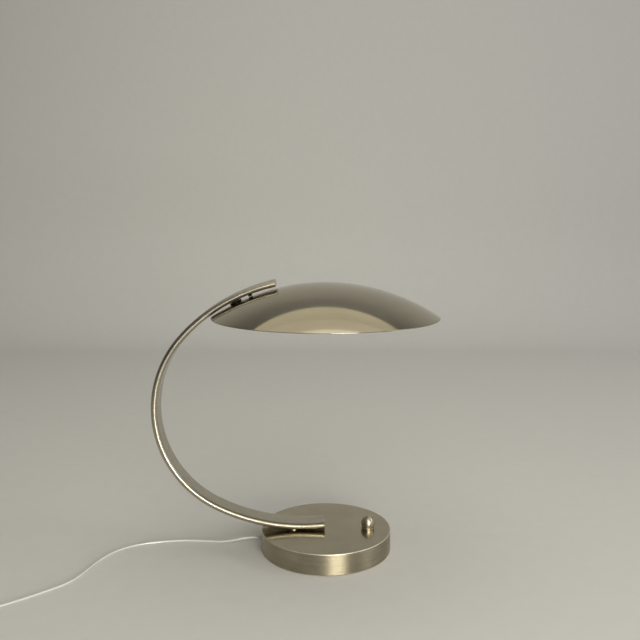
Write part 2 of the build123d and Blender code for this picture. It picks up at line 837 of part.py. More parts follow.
# Gland of the cord: a tapered sleeve outside, a neck in the wall and a tail up to the clamp
gland_tip_distance = base_radius + gland_tip
gland_seat = shell_inner_radius - 0.2
gland_bore = cord_radius + gland_bore_clearance
gland_outline = [
    (gland_bore, gland_tip),
    (gland_tip_radius, gland_tip),
    (gland_root_radius, gland_flange_thickness),
    (gland_flange_radius, gland_flange_thickness),
    (gland_flange_radius, 0),
    (gland_neck_radius, 0),
    (gland_neck_radius, gland_seat - base_radius),
    (gland_collar_radius, gland_seat - base_radius),
    (gland_collar_radius, gland_seat - base_radius - gland_flange_thickness),
    (gland_tail_radius, gland_seat - base_radius - gland_flange_thickness),
    (gland_tail_radius, gland_seat - base_radius - gland_tail),
    (gland_bore, gland_seat - base_radius - gland_tail),
]
gland_axis = Axis(on_exit_line(base_radius), exit_direction)
gland_plane = Plane(
    origin=on_exit_line(base_radius),
    x_dir=(0, 0, 1),
    z_dir=(-exit_direction.Y, exit_direction.X, 0),
)
with BuildPart() as cord_gland:
    with BuildSketch(gland_plane):
        with BuildLine():
            Polyline(*gland_outline, close=True)
        make_face()
    revolve(axis=gland_axis)
write(cord_gland.part, "cord_gland")

tail_route = [
    on_exit_line(gland_tip_distance),
    on_exit_line(base_radius - mains_tail_straight),
    (-53.8, 19.3, cord_exit_height),
    (-38, 38, cord_exit_height),
    (-20, 52, 11),
    (block_x - block_length / 2, block_y, 11),
]
write(rod(tail_route, corner_radii(tail_route), cord_radius), "mains_tail")

cable_low = 12.0
arm_lead_route = [
    (block_x - block_length / 2, 47, 10),
    (-18, 47, 10),
    (-36, 36, 6),
    (nipple_x, 20, 5),
    (nipple_x, 0, 5),
    (nipple_x, 0, cable_low),
]
write(rod(arm_lead_route, corner_radii(arm_lead_route), cable_radius), "arm_lead")

dimmer_low = top_underside - dimmer_height
dimmer_lead_solids = []
for side in (1, -1):
    lead_route = [
        (block_x + block_length / 2, block_y + 4 * side, 10),
        (38 + 3 * side, block_y + 4 * side, 10),
        (54 + 3 * side, 32, 8),
        (60 + 3 * side, 10, 7),
        (60 + 3 * side, 2, 7),
        (60 + 3 * side, 2, dimmer_low),
    ]
    dimmer_lead_solids += rod(lead_route, corner_radii(lead_route), lead_radius).solids()
write(Compound(children=dimmer_lead_solids), "dimmer_leads")

# Cable inside the arm, from the nipple to the centre of the ball
foot_turn = degrees(asin((arm_low_x - nipple_x + cable_bend) / (foot_radius + cable_bend)))
bend_low = arm_low_z + foot_radius - (foot_radius + cable_bend) * cos(radians(foot_turn))
top_heading = 180 + foot_rise - foot_sweep - back_sweep
top_centre = top_arc.arc_center
from_top = joint_point - joint_tangent * cable_bend - top_centre
drop = from_top.dot(joint_normal)
bend_depth = -drop + sqrt(drop**2 - from_top.dot(from_top) + (top_radius - cable_bend) ** 2)
bend_centre = top_centre + from_top + joint_normal * bend_depth
radial = bend_centre - top_centre
leave_angle = degrees(atan2(radial.Z, radial.X))
ball_centre = ball_plane.origin

with BuildPart() as arm_cable:
    with BuildLine(Plane.XZ) as cable_line:
        rise = Line((nipple_x, cable_low), (nipple_x, bend_low))
        first = JernArc(rise @ 1, heading(90), cable_bend, 90 - foot_turn)
        second = JernArc(first @ 1, first % 1, foot_radius, foot_turn + foot_rise - foot_sweep)
        third = JernArc(second @ 1, second % 1, back_radius, -back_sweep)
        fourth = JernArc(third @ 1, third % 1, top_radius, leave_angle - 90 - top_heading)
        fifth = JernArc(fourth @ 1, fourth % 1, cable_bend, joint_angle - leave_angle)
        Line(fifth @ 1, ball_centre)
    with BuildSketch(Plane.XY.offset(cable_low)):
        with Locations((nipple_x, 0)):
            Circle(cable_radius)
    sweep()
write(arm_cable.part, "arm_cable")

# Wiring in the shade
block_edge = hypot(shade_block_x + shade_block_length / 2, bracket_thickness / 2 + shade_block_width)
shade_block_top = dome_centre.Z + sqrt(inner_dome_radius**2 - block_edge**2) - 0.6
shade_block_z = shade_block_top - shade_block_height / 2
shade_block_left = shade_x - shade_block_x - shade_block_length / 2
shade_block_right = shade_block_left + shade_block_length
shade_block_y = bracket_thickness / 2 + shade_block_width / 2

with BuildPart() as shade_block:
    with Locations((shade_x - shade_block_x, shade_block_y, shade_block_z)):
        Box(shade_block_length, shade_block_width, shade_block_height)
write(shade_block.part, "shade_block")

cable_out = joint_point - joint_normal * 19
shade_cable_route = [
    tuple(ball_centre - joint_normal * 0.2),
    tuple(cable_out),
    (cable_out.X + 12, 3, cable_out.Z + 2),
    (shade_block_left - 13, shade_block_y, shade_block_z),
    (shade_block_left, shade_block_y, shade_block_z),
]
write(rod(shade_cable_route, corner_radii(shade_cable_route), cable_radius), "shade_cable")

holder_lead_solids = []
entry_radius = (holder_back_radius + holder_radius) / 2
for side in (1, -1):
    for order, entry_angle in enumerate((150, 185)):
        entry_x = shade_x + entry_radius * cos(radians(entry_angle))
        entry_z = holder_z + entry_radius * sin(radians(entry_angle))
        start_y = shade_block_y + 2.3 * side - 0.3
        start_z = shade_block_z + 2.2 - 4.4 * order
        lead_route = [
            (shade_block_right, start_y, start_z),
            (shade_block_right + 7, start_y, start_z),
            (shade_block_right + 15 - 2 * order, start_y + 0.6, holder_z + 12 - 4 * order),
            (shade_x - 22 - 2 * order, 5 * side, holder_z + 8.5 - 5 * order),
            (entry_x, 6.2 * side, entry_z),
            (entry_x, side * (bracket_thickness / 2 + holder_back_length), entry_z),
        ]
        holder_lead_solids += rod(lead_route, corner_radii(lead_route), lead_radius).solids()
write(Compound(children=holder_lead_solids), "holder_leads")

# Power cord: out of the gland, down to the table and along it to the coil
coil_along = Vector(cos(radians(coil_heading)), sin(radians(coil_heading)), 0)
coil_across = Vector(coil_along.Y, -coil_along.X, 0)
coil_first = Vector(coil_start[0], coil_start[1], cord_floor)

cord_route = [
    on_exit_line(gland_tip_distance),
    on_exit_line(gland_tip_distance + 14),
    (-138, 9.5, 6.3),
    (-158, 11.5, 2.6),
    (-182, 16.5, cord_floor),
    (-210, 18.8, cord_floor),
    (-238, 15.9, cord_floor),
    (-263, 11, cord_floor),
    (-286, 2, cord_floor),
    (-305, -11.5, cord_floor),
    (-320, -33, cord_floor),
    (-330.5, -60, cord_floor),
    (-338, -92, cord_floor),
    (-350, -121, cord_floor),
    (-373, -144, cord_floor),
    (-398, -167, cord_floor),
    tuple(coil_first - coil_along * coil_lead),
    tuple(coil_first),
]
cord_radii = corner_radii(cord_route)
print("cord radii", [round(radius, 1) for radius in cord_radii])
power_cord = rod(cord_route, cord_radii, cord_radius)
cord_area = pi * cord_radius**2
print("cord volume", round(power_cord.volume), "length", round(power_cord.volume / cord_area, 1))
write(power_cord, "power_cord")

# Coil: half circles that wind in, up, out, up and in again, in four layers
last_inner = coil_turn_halves - 1
inward = list(range(1, last_inner + 1))
outward = inward[::-1]
coil_halves = [(0, 0)] + [(step, 0) for step in inward] + [(coil_turn_halves, 1)]
coil_halves += [(step, 0) for step in outward] + [(0, 1)]
coil_halves += [(step, 0) for step in inward] + [(coil_turn_halves, 1)]
coil_halves += [(step, 0) for step in outward]

with BuildLine() as coil_line:
    cord_width = 2 * cord_radius
    place = coil_first + coil_along * cord_width
    Line(coil_first, place)
    ahead = coil_along
    across = coil_across
    for step, climbs in coil_halves:
        radius = coil_outer_radius - step * coil_pitch / 2
        climb = Vector(0, 0, climbs * coil_pitch)
        finish = place + across * (2 * radius) + climb
        middle = (place + finish) / 2 + ahead * ((finish - place).length / 2)
        ThreePointArc(place, middle, finish)
        place = finish
        ahead = -ahead
        across = -across
    coil_last = place + coil_along * cord_width
    Line(place, coil_last)

coil_path = coil_line.wire()
with BuildPart() as cord_coil:
    with BuildSketch(Plane(origin=coil_first, z_dir=coil_along)):
        Circle(cord_radius)
    sweep(path=coil_path)
write(cord_coil.part, "cord_coil")

coil_samples = 900
coil_places = [coil_path @ (number / coil_samples) for number in range(coil_samples + 1)]
apart = int(4 * cord_width / coil_path.length * coil_samples)
least = min(
    (coil_places[one] - coil_places[other]).length
    for one in range(coil_samples + 1)
    for other in range(one + apart, coil_samples + 1)
)
print("coil length", round(coil_path.length, 1), "least gap", round(least - cord_width, 3))

# Last stretch of the cord and its plug, lying on the table
plug_axis_height = plug_height / 2
tail_start = coil_last
tail_end = Vector(coil_last.X, coil_last.Y, plug_axis_height) + coil_along * tail_length
cord_tail_route = [
    tuple(tail_start),
    tuple(tail_start + coil_along * tail_straight),
    tuple(tail_end - coil_along * tail_plug_straight),
    tuple(tail_end),
]
write(rod(cord_tail_route, corner_radii(cord_tail_route), cord_radius), "cord_tail")

plug_origin = Vector(tail_end.X, tail_end.Y, 0) + coil_along * plug_boot_length
plug_plane = Plane(origin=plug_origin, x_dir=coil_along, z_dir=(0, 0, 1))
boot_plane = Plane(origin=tail_end, z_dir=coil_along)
pin_plane = Plane(
    origin=plug_origin + coil_along * plug_length + Vector(0, 0, plug_axis_height),
    x_dir=coil_across,
    z_dir=coil_along,
)
pin_places = Locations((-plug_pin_spacing / 2, 0), (plug_pin_spacing / 2, 0))
pin_sink = 8.0

with BuildPart() as plug_body:
    with BuildSketch(plug_plane):
        with BuildLine():
            Polyline(
                (0, -plug_back_width / 2),
                (0.35 * plug_length, -plug_width / 2),
                (plug_length, -plug_width / 2),
                (plug_length, plug_width / 2),
                (0.35 * plug_length, plug_width / 2),
                (0, plug_back_width / 2),
                close=True,
            )
        make_face()
    extrude(amount=plug_height)
    fillet(plug_body.edges().filter_by(Axis.Z), 3.0)
    fillet(plug_body.faces().sort_by(Axis.Z)[-1].edges(), 1.5)
    with BuildSketch(boot_plane):
        Circle(cord_radius + 0.6)
    with BuildSketch(boot_plane.offset(plug_boot_length)):
        Circle(plug_boot_radius)
    loft()
    with BuildSketch(pin_plane):
        with pin_places:
            Circle(plug_pin_radius + thread_clearance)
    extrude(amount=-pin_sink, mode=Mode.SUBTRACT)
write(plug_body.part, "plug_body")

with BuildPart() as plug_pins:
    with BuildSketch(pin_plane.offset(-pin_sink)):
        with pin_places:
            Circle(plug_pin_radius)
    extrude(amount=pin_sink + plug_pin_length)
    fillet(plug_pins.faces().sort_by(Axis(pin_plane.origin, coil_along))[-1].edges(), 0.8)
write(plug_pins.part, "plug_pins")
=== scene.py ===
import logging
from collections.abc import Callable, Iterable, Sequence
from dataclasses import dataclass
from enum import Enum
from math import asin, cos, degrees, hypot, pi, radians, sin, sqrt, tan

import bmesh
import bpy
from mathutils import Matrix, Vector
from mathutils.bvhtree import BVHTree
from mathutils.interpolate import poly_3d_calc


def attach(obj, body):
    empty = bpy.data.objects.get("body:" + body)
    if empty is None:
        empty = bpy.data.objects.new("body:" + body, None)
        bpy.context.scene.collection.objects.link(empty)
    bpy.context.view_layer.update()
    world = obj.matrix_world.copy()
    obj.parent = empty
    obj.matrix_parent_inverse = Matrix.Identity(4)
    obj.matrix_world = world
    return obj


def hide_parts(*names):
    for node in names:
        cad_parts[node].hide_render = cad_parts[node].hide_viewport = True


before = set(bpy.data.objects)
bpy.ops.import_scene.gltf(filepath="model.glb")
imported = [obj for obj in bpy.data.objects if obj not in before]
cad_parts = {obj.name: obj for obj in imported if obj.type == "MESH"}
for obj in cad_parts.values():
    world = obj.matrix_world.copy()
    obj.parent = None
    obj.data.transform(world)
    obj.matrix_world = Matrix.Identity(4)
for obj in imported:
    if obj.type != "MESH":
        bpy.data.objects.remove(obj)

# Arc table lamp: a turned base with a dimmer, a flat-oval arc arm and a shallow spun dome.
# Metres. Origin at the centre of the base's underside, +Z up, -Y towards the user.

log = logging.getLogger("arc_lamp")
Point = Sequence[float]
Outline = list[tuple[float, float]]
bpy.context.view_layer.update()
UP = Vector((0, 0, 1))
NOISE_RANGE = (0.3, 0.7)
CURVE_STEPS = 12


class Slot(Enum):
    """Names of the record's material slots."""

    NICKEL = "champagne_nickel"
    FELT = "felt"
    BLACK_METAL = "black_metal"
    RUBBER = "black_rubber"
    ZINC = "zinc_steel"
    BRASS = "bare_brass"
    HOLDER = "black_holder"
    WHITE_PLASTIC = "white_plastic"
    BULB_CAP = "bulb_cap"
    OPAL = "opal_glass"
    CORD = "clear_cord"
    GLAND = "clear_gland"
    CABLE = "white_cable"
    PLUG = "plug_plastic"
    PINS = "plug_pins"


class Brushing(Enum):
    """Which way the lines of a brushed or turned surface run."""

    ROUND = "round the turning axis"
    ALONG = "along the piece's own UV map"


class NodeGraph:
    """A material's nodes, with short ways to add and join them."""

    def __init__(self, name: str) -> None:
        """Start a material that has a Principled shader and its output.

        Args:
            name: Name of the material.
        """
        self.material = bpy.data.materials.new(name)
        self.material.use_nodes = True
        self.tree = self.material.node_tree
        self.tree.nodes.clear()
        self.shader = self.tree.nodes.new("ShaderNodeBsdfPrincipled")
        output = self.tree.nodes.new("ShaderNodeOutputMaterial")
        self.tree.links.new(self.shader.outputs["BSDF"], output.inputs["Surface"])

    def node(self, kind: str, **settings: object) -> bpy.types.Node:
        """Add a node.

        Args:
            kind: Blender's name of the node type.
            settings: Values of the node's own properties.

        Returns:
            The node.
        """
        made = self.tree.nodes.new(kind)
        for key, value in settings.items():
            setattr(made, key, value)
        return made

    def feed(self, socket: bpy.types.NodeSocket, value: object) -> None:
        """Join an output to a socket, or set the socket to a plain value.

        Args:
            socket: The input that is fed.
            value: An output socket, a number or a colour.
        """
        if isinstance(value, bpy.types.NodeSocket):
            self.tree.links.new(value, socket)
        else:
            socket.default_value = value

    def math(self, operation: str, first: object, second: object = 0.0) -> bpy.types.NodeSocket:
        """Work out one number from one or two others.

        Args:
            operation: Name of the Math node's operation.
            first: First number or socket.
            second: Second number or socket.

        Returns:
            The socket with the result.
        """
        made = self.node("ShaderNodeMath", operation=operation)
        self.feed(made.inputs[0], first)
        self.feed(made.inputs[1], second)
        return made.outputs[0]

    def plus(self, first: object, second: object) -> bpy.types.NodeSocket:
        """Sum of two numbers or sockets."""
        return self.math("ADD", first, second)

    def times(self, first: object, second: object) -> bpy.types.NodeSocket:
        """Product of two numbers or sockets."""
        return self.math("MULTIPLY", first, second)

    def vector(self, x: object, y: object, z: object) -> bpy.types.NodeSocket:
        """Combine three numbers into one vector socket.

        Args:
            x: First part.
            y: Second part.
            z: Third part.

        Returns:
            The vector's socket.
        """
        made = self.node("ShaderNodeCombineXYZ")
        for socket, value in zip(made.inputs, (x, y, z)):
            self.feed(socket, value)
        return made.outputs[0]

    def parts(self, vector: bpy.types.NodeSocket) -> Sequence[bpy.types.NodeSocket]:
        """Take a vector apart.

        Args:
            vector: The vector's socket.

        Returns:
            Sockets of its three numbers.
        """
        made = self.node("ShaderNodeSeparateXYZ")
        self.feed(made.inputs[0], vector)
        return made.outputs

    def uv_place(self) -> bpy.types.NodeSocket:
        """The piece's own UV map."""
        return self.node("ShaderNodeUVMap").outputs[0]

    def noise(self, place: bpy.types.NodeSocket, scale: float, detail: float = 2.0) -> bpy.types.NodeSocket:
        """Smooth noise, which stays in NOISE_RANGE for the most part.

        Args:
            place: Coordinates that the noise reads.
            scale: Features per unit of those coordinates.
            detail: How many finer layers are added.

        Returns:
            The noise's value.
        """
        made = self.node("ShaderNodeTexNoise")
        self.feed(made.inputs["Vector"], place)
        made.inputs["Scale"].default_value = scale
        made.inputs["Detail"].default_value = detail
        return made.outputs[0]

    def spread(self, value: object, low: float, high: float) -> bpy.types.NodeSocket:
        """Map a noise's usual range to another one.

        Args:
            value: The noise's value.
            low: Result at the range's lower end.
            high: Result at its upper end.

        Returns:
            The mapped value.
        """
        made = self.node("ShaderNodeMapRange")
        self.feed(made.inputs["Value"], value)
        made.inputs["From Min"].default_value, made.inputs["From Max"].default_value = NOISE_RANGE
        made.inputs["To Min"].default_value = low
        made.inputs["To Max"].default_value = high
        return made.outputs[0]

    def blend(self, factor: object, first: Sequence[float], second: Sequence[float]) -> bpy.types.NodeSocket:
        """Blend two colours.

        Args:
            factor: Share of the second colour.
            first: First colour.
            second: Second colour.

        Returns:
            The blended colour's socket.
        """
        made = self.node("ShaderNodeMix", data_type="RGBA")
        self.feed(made.inputs["Factor"], factor)
        made.inputs[6].default_value = (*first, 1)
        made.inputs[7].default_value = (*second, 1)
        return made.outputs[2]

    def bump(self, height: object, distance: float, strength: float) -> None:
        """Raise the surface by a height map, for shading alone.

        Args:
            height: Socket with the height, 0 to 1.
            distance: Height of 1, in metres.
            strength: Share of the effect.
        """
        made = self.node("ShaderNodeBump")
        self.feed(made.inputs["Height"], height)
        made.inputs["Distance"].default_value = distance
        made.inputs["Strength"].default_value = strength
        self.tree.links.new(made.outputs[0], self.shader.inputs["Normal"])

    def set(self, **values: object) -> None:
        """Set or feed sockets of the shader, named with _ for a blank."""
        for key, value in values.items():
            self.feed(self.shader.inputs[key.replace("_", " ")], value)

    def object_place(self) -> bpy.types.NodeSocket:
        """Object coordinates."""
        return self.node("ShaderNodeTexCoord").outputs["Object"]


def tint(colour: Sequence[float], share: float) -> tuple[float, ...]:
    """Make a colour darker or lighter.

    Args:
        colour: The colour.
        share: Factor on each of its parts.

    Returns:
        The new colour.
    """
    return tuple(part * share for part in colour)


@dataclass(frozen=True)
class SatinNickel:
    """Plated brass, brushed and then worn to a soft shine."""

    name: str
    centre: tuple[float, float] = (0.0, 0.0)
    brushing: Brushing = Brushing.ROUND
    colour: tuple[float, float, float] = (0.475, 0.428, 0.325)
    roughness: float = 0.17
    unevenness: float = 0.035
    anisotropy: float = 0.5
    line_pitch: float = 0.0007
    line_height: float = 0.000004
    line_length: float = 60.0
    line_breaks: float = 2.0
    patch_size: float = 0.05
    specks_per_patch: float = 9.0
    patina: float = 0.1
    patina_share: tuple[float, float, float] = (0.2, 0.16, 0.06)
    line_tone: float = 0.06

    def line_place(self, graph: NodeGraph) -> bpy.types.NodeSocket:
        """Coordinates that change fast across the brushing and slowly along it.

        Args:
            graph: Nodes of the material.

        Returns:
            Socket of a vector, in line pitches.
        """
        across = 1 / self.line_pitch
        if self.brushing is Brushing.ALONG:
            run, girth, _ = graph.parts(graph.uv_place())
            return graph.vector(graph.times(run, across / self.line_length), graph.times(girth, across), 0.0)
        x, y, z = graph.parts(graph.object_place())
        x = graph.math("SUBTRACT", x, self.centre[0])
        y = graph.math("SUBTRACT", y, self.centre[1])
        square = graph.plus(graph.times(x, x), graph.times(y, y))
        reach = graph.math("MAXIMUM", graph.math("SQRT", square), 1e-5)
        rings = graph.times(reach, across)
        turn_x = graph.times(graph.math("DIVIDE", x, reach), self.line_breaks)
        turn_y = graph.times(graph.math("DIVIDE", y, reach), self.line_breaks)
        return graph.vector(graph.plus(rings, turn_x), graph.times(z, across), turn_y)

    def material(self) -> bpy.types.Material:
        """The finish as a material.

        Returns:
            The material.
        """
        graph = NodeGraph(self.name)
        lines = graph.noise(self.line_place(graph), 1.0, 3.0)
        patches = graph.noise(graph.object_place(), 1 / self.patch_size, 3.0)
        specks = graph.noise(graph.object_place(), self.specks_per_patch / self.patch_size, 2.0)
        dulled = graph.spread(patches, -self.unevenness, self.unevenness)
        lined = graph.spread(lines, -self.unevenness, self.unevenness)
        tarnish = graph.times(graph.spread(patches, 0, self.patina), graph.spread(specks, 0.5, 1))
        if self.brushing is Brushing.ALONG:
            tangent = graph.node("ShaderNodeTangent", direction_type="UV_MAP", uv_map="UVMap")
            quarter_turns = 0
        else:
            tangent = graph.node("ShaderNodeTangent", direction_type="RADIAL", axis="Z")
            quarter_turns = 1
        graph.set(
            Base_Color=graph.blend(
                graph.plus(tarnish, graph.spread(lines, 0, self.line_tone)),
                self.colour,
                tuple(part * share for part, share in zip(self.colour, self.patina_share)),
            ),
            Metallic=1.0,
            Roughness=graph.plus(graph.plus(dulled, lined), self.roughness),
            Anisotropic=self.anisotropy,
            Anisotropic_Rotation=quarter_turns / 4,
            Tangent=tangent.outputs[0],
        )
        graph.bump(lines, self.line_height, 0.5)
        return graph.material


@dataclass(frozen=True)
class PlainMetal:
    """Turned, plated or blackened metal, with a fine grain."""

    name: str
    colour: tuple[float, float, float]
    roughness: float
    metallic: float = 1.0
    grain: float = 0.0015
    grain_height: float = 0.000012

    def material(self) -> bpy.types.Material:
        """The finish as a material.

        Returns:
            The material.
        """
        graph = NodeGraph(self.name)
        place = graph.object_place()
        grain = graph.noise(place, 1 / self.grain, 3.0)
        stains = graph.noise(place, 0.08 / self.grain, 2.0)
        graph.set(
            Base_Color=graph.blend(graph.spread(stains, 0, 1), self.colour, tint(self.colour, 0.72)),
            Metallic=self.metallic,
            Roughness=graph.spread(grain, self.roughness * 0.8, self.roughness * 1.25),
        )
        graph.bump(grain, self.grain_height, 0.4)
        return graph.material


@dataclass(frozen=True)
class Casting:
    """Sand-cast iron with a pitted skin."""

    name: str = "cast_iron_skin"

    def material(self) -> bpy.types.Material:
        """The finish as a material.

        Returns:
            The material.
        """
        graph = NodeGraph(self.name)
        place = graph.object_place()
        pits = graph.noise(place, 700, 4.0)
        rust = graph.spread(graph.noise(place, 45, 3.0), 0, 0.6)
        graph.set(
            Base_Color=graph.blend(rust, (0.16, 0.155, 0.15), (0.15, 0.1, 0.07)),
            Metallic=0.6,
            Roughness=graph.spread(pits, 0.55, 0.8),
        )
        graph.bump(pits, 0.0003, 0.7)
        return graph.material


@dataclass(frozen=True)
class Moulded:
    """Injection-moulded plastic or rubber."""

    name: str
    colour: tuple[float, float, float]
    roughness: float
    texture: float = 0.0006
    depth: float = 0.00001
    coat: float = 0.0

    def material(self) -> bpy.types.Material:
        """The finish as a material.

        Returns:
            The material.
        """
        graph = NodeGraph(self.name)
        place = graph.object_place()
        spark = graph.noise(place, 1 / self.texture, 2.0)
        cloud = graph.noise(place, 60, 2.0)
        graph.set(
            Base_Color=graph.blend(graph.spread(cloud, 0, 1), self.colour, tint(self.colour, 0.9)),
            Roughness=graph.spread(spark, self.roughness * 0.85, self.roughness * 1.15),
            Coat_Weight=self.coat,
            Coat_Roughness=0.08,
        )
        graph.bump(spark, self.depth, 0.5)
        return graph.material


@dataclass(frozen=True)
class PressedFelt:
    """Black pressed felt with loose fibres."""

    name: str = "pressed_felt"

    def material(self) -> bpy.types.Material:
        """The finish as a material.

        Returns:
            The material.
        """
        graph = NodeGraph(self.name)
        place = graph.object_place()
        fibres = graph.node("ShaderNodeTexVoronoi", feature="SMOOTH_F1")
        graph.feed(fibres.inputs["Vector"], place)
        fibres.inputs["Scale"].default_value = 1400
        fuzz = graph.noise(place, 900, 4.0)
        graph.set(
            Base_Color=graph.blend(graph.spread(fuzz, 0, 1), (0.012, 0.012, 0.012), (0.05, 0.048, 0.045)),
            Roughness=0.95,
            Sheen_Weight=0.5,
            Sheen_Roughness=0.4,
        )
        graph.bump(graph.plus(fuzz, fibres.outputs[0]), 0.0004, 0.8)
        return graph.material


@dataclass(frozen=True)
class OpalGlass:
    """White flashed glass of the bulbs, switched off."""

    name: str = "opal_glass_skin"

    def material(self) -> bpy.types.Material:
        """The finish as a material.

        Returns:
            The material.
        """
        graph = NodeGraph(self.name)
        haze = graph.noise(graph.object_place(), 120, 3.0)
        graph.set(
            Base_Color=graph.blend(graph.spread(haze, 0, 1), (0.9, 0.9, 0.87), (0.84, 0.84, 0.8)),
            Roughness=graph.spread(haze, 0.2, 0.28),
            Subsurface_Weight=0.4,
            Subsurface_Scale=0.004,
            Coat_Weight=0.6,
            Coat_Roughness=0.05,
        )
        return graph.material


@dataclass(frozen=True)
class ClearSleeve:
    """Glossy clear sleeve over two twisted bundles of tinned strands, with painted shade in the grooves
    between them.
    """

    name: str = "clear_sleeve_over_strands"
    lay_length: float = 0.016
    strands: float = 9.0

    def material(self) -> bpy.types.Material:
        """The finish as a material.

        Returns:
            The material.
        """
        graph = NodeGraph(self.name)
        run, girth, _ = graph.parts(graph.uv_place())
        wound = graph.plus(graph.math("DIVIDE", run, self.lay_length), girth)
        pair = graph.math("SINE", graph.times(wound, 4 * pi))
        fine = graph.math("SINE", graph.times(wound, 2 * pi * self.strands * 2))
        # Darker where the two bundles meet: painted shade in the groove between them. The fine stripes run
        # along the strands.
        painted_groove_shade = graph.math("POWER", graph.math("ABSOLUTE", pair), 0.35)
        shade = graph.plus(graph.times(fine, 0.12), graph.times(painted_groove_shade, 0.88))
        graph.set(
            Base_Color=graph.blend(shade, (0.42, 0.42, 0.4), (0.86, 0.86, 0.83)),
            Metallic=0.15,
            Roughness=0.3,
            Coat_Weight=1.0,
            Coat_Roughness=0.06,
        )
        graph.bump(shade, 0.00012, 0.3)
        return graph.material


@dataclass(frozen=True)
class ClearRubber:
    """Soft translucent rubber of the cord's sleeve."""

    name: str = "clear_rubber"

    def material(self) -> bpy.types.Material:
        """The finish as a material.

        Returns:
            The material.
        """
        graph = NodeGraph(self.name)
        cloud = graph.noise(graph.object_place(), 300, 2.0)
        graph.set(
            Base_Color=graph.blend(graph.spread(cloud, 0, 1), (0.7, 0.7, 0.66), (0.6, 0.6, 0.56)),
            Roughness=graph.spread(cloud, 0.28, 0.36),
            Subsurface_Weight=0.5,
            Subsurface_Scale=0.003,
            Transmission_Weight=0.25,
        )
        graph.bump(cloud, 0.00003, 0.5)
        return graph.material


def shade_smooth(mesh: bpy.types.Mesh, sharp_above: float = 30.0) -> bpy.types.Mesh:
    """Smooth a mesh, but keep edges that turn by more than an angle.

    Args:
        mesh: The mesh.
        sharp_above: That angle, in degrees.

    Returns:
        The same mesh.
    """
    mesh.shade_smooth()
    mesh.set_sharp_from_angle(angle=radians(sharp_above))
    return mesh


def settled(work: bmesh.types.BMesh, name: str) -> bpy.types.Mesh:
    """Write a mesh that is being worked on into a new one, and free it.

    Args:
        work: The mesh that is being worked on.
        name: Name of the new one.

    Returns:
        The new mesh.
    """
    mesh = bpy.data.meshes.new(name)
    work.to_mesh(mesh)
    work.free()
    return mesh


def in_scene(name: str, data: bpy.types.ID) -> bpy.types.Object:
    """Put data into the scene as a new object.

    Args:
        name: Name of the object.
        data: Its mesh, curve, camera or light.

    Returns:
        The object.
    """
    made = bpy.data.objects.new(name, data)
    bpy.context.scene.collection.objects.link(made)
    return made


def evaluated(thing: bpy.types.Object) -> bpy.types.Mesh:
    """Mesh that an object gives once its modifiers have run.

    Args:
        thing: The object.

    Returns:
        The mesh.
    """
    return bpy.data.meshes.new_from_object(thing.evaluated_get(bpy.context.evaluated_depsgraph_get()))


def skin(
    name: str,
    rings: Sequence[Sequence[Vector]],
    looped: bool = False,
    rows: Sequence[float] | None = None,
    columns: Sequence[float] | None = None,
) -> bpy.types.Mesh:
    """Join closed rings of points into one outward-facing closed skin.

    Args:
        name: Name of the mesh.
        rings: Rings with the same number of points. A ring with one place is a pole.
        looped: Whether the last ring joins the first, instead of both being closed.
        rows: UV value of each ring.
        columns: UV value of each point of a ring, and of its first point again.

    Returns:
        The mesh.
    """
    count = len(rings[0])
    work = bmesh.new()
    grid = [[work.verts.new(point) for point in ring] for ring in rings]
    layer = work.loops.layers.uv.new("UVMap")
    rows = rows or list(range(len(rings)))
    columns = columns or [place / count for place in range(count + 1)]
    last = len(rings) if looped else len(rings) - 1
    for row in range(last):
        beyond = (row + 1) % len(rings)
        for column in range(count):
            after = (column + 1) % count
            lower, upper = grid[row], grid[beyond]
            face = work.faces.new((lower[column], lower[after], upper[after], upper[column]))
            places = ((row, column), (row, column + 1), (beyond, column + 1), (beyond, column))
            for loop, (at_row, at_column) in zip(face.loops, places):
                loop[layer].uv = (rows[at_row], columns[at_column])
    if not looped:
        work.faces.new(grid[0])
        work.faces.new(grid[-1])
    bmesh.ops.remove_doubles(work, verts=work.verts, dist=1e-7)
    bmesh.ops.dissolve_degenerate(work, edges=work.edges, dist=1e-8)
    bmesh.ops.recalc_face_normals(work, faces=work.faces)
    return shade_smooth(settled(work, name))


def axis_frame(origin: Point, direction: Point) -> Matrix:
    """Frame whose Z runs along a direction.

    Args:
        origin: Where the frame stands.
        direction: Its Z.

    Returns:
        The matrix that takes the frame's points to the lamp's.
    """
    along = Vector(direction).normalized()
    side = Vector((0, 1, 0)) if abs(along.y) < 0.9 else Vector((1, 0, 0))
    across = side.cross(along).normalized()
    matrix = Matrix((across, along.cross(across), along)).transposed().to_4x4()
    matrix.translation = Vector(origin)
    return matrix


def rounded(corners: Sequence[tuple[float, ...]], steps: int = 5) -> Outline:
    """Outline with arcs at its corners.

    Args:
        corners: (radius, height) of each corner, and the arc's size where it has one.
        steps: Pieces of each arc.

    Returns:
        The outline's points.
    """
    made: Outline = []
    for place, corner in enumerate(corners):
        here = Vector(corner[:2])
        if len(corner) < 3 or place in (0, len(corners) - 1):
            made.append(tuple(here))
            continue
        before = (Vector(corners[place - 1][:2]) - here).normalized()
        after = (Vector(corners[place + 1][:2]) - here).normalized()
        half = before.angle(after) / 2
        centre = here + (before + after).normalized() * (corner[2] / sin(half))
        first = here + before * (corner[2] / tan(half)) - centre
        last = here + after * (corner[2] / tan(half)) - centre
        for step in range(steps + 1):
            made.append(tuple(centre + first.slerp(last, step / steps).normalized() * corner[2]))
    return made


def supported(outline: Outline, margin: float = 0.0002) -> Outline:
    """Outline with a point close to each end of its long runs, which keeps flats flat when smoothed.

    Args:
        outline: (radius, height) points.
        margin: How close.

    Returns:
        The outline with the added points.
    """
    made = [outline[0]]
    for first, last in zip(outline, outline[1:]):
        run = Vector(last) - Vector(first)
        if run.length > 6 * margin:
            made.append(tuple(Vector(first) + run.normalized() * margin))
            made.append(tuple(Vector(last) - run.normalized() * margin))
        made.append(last)
    return made


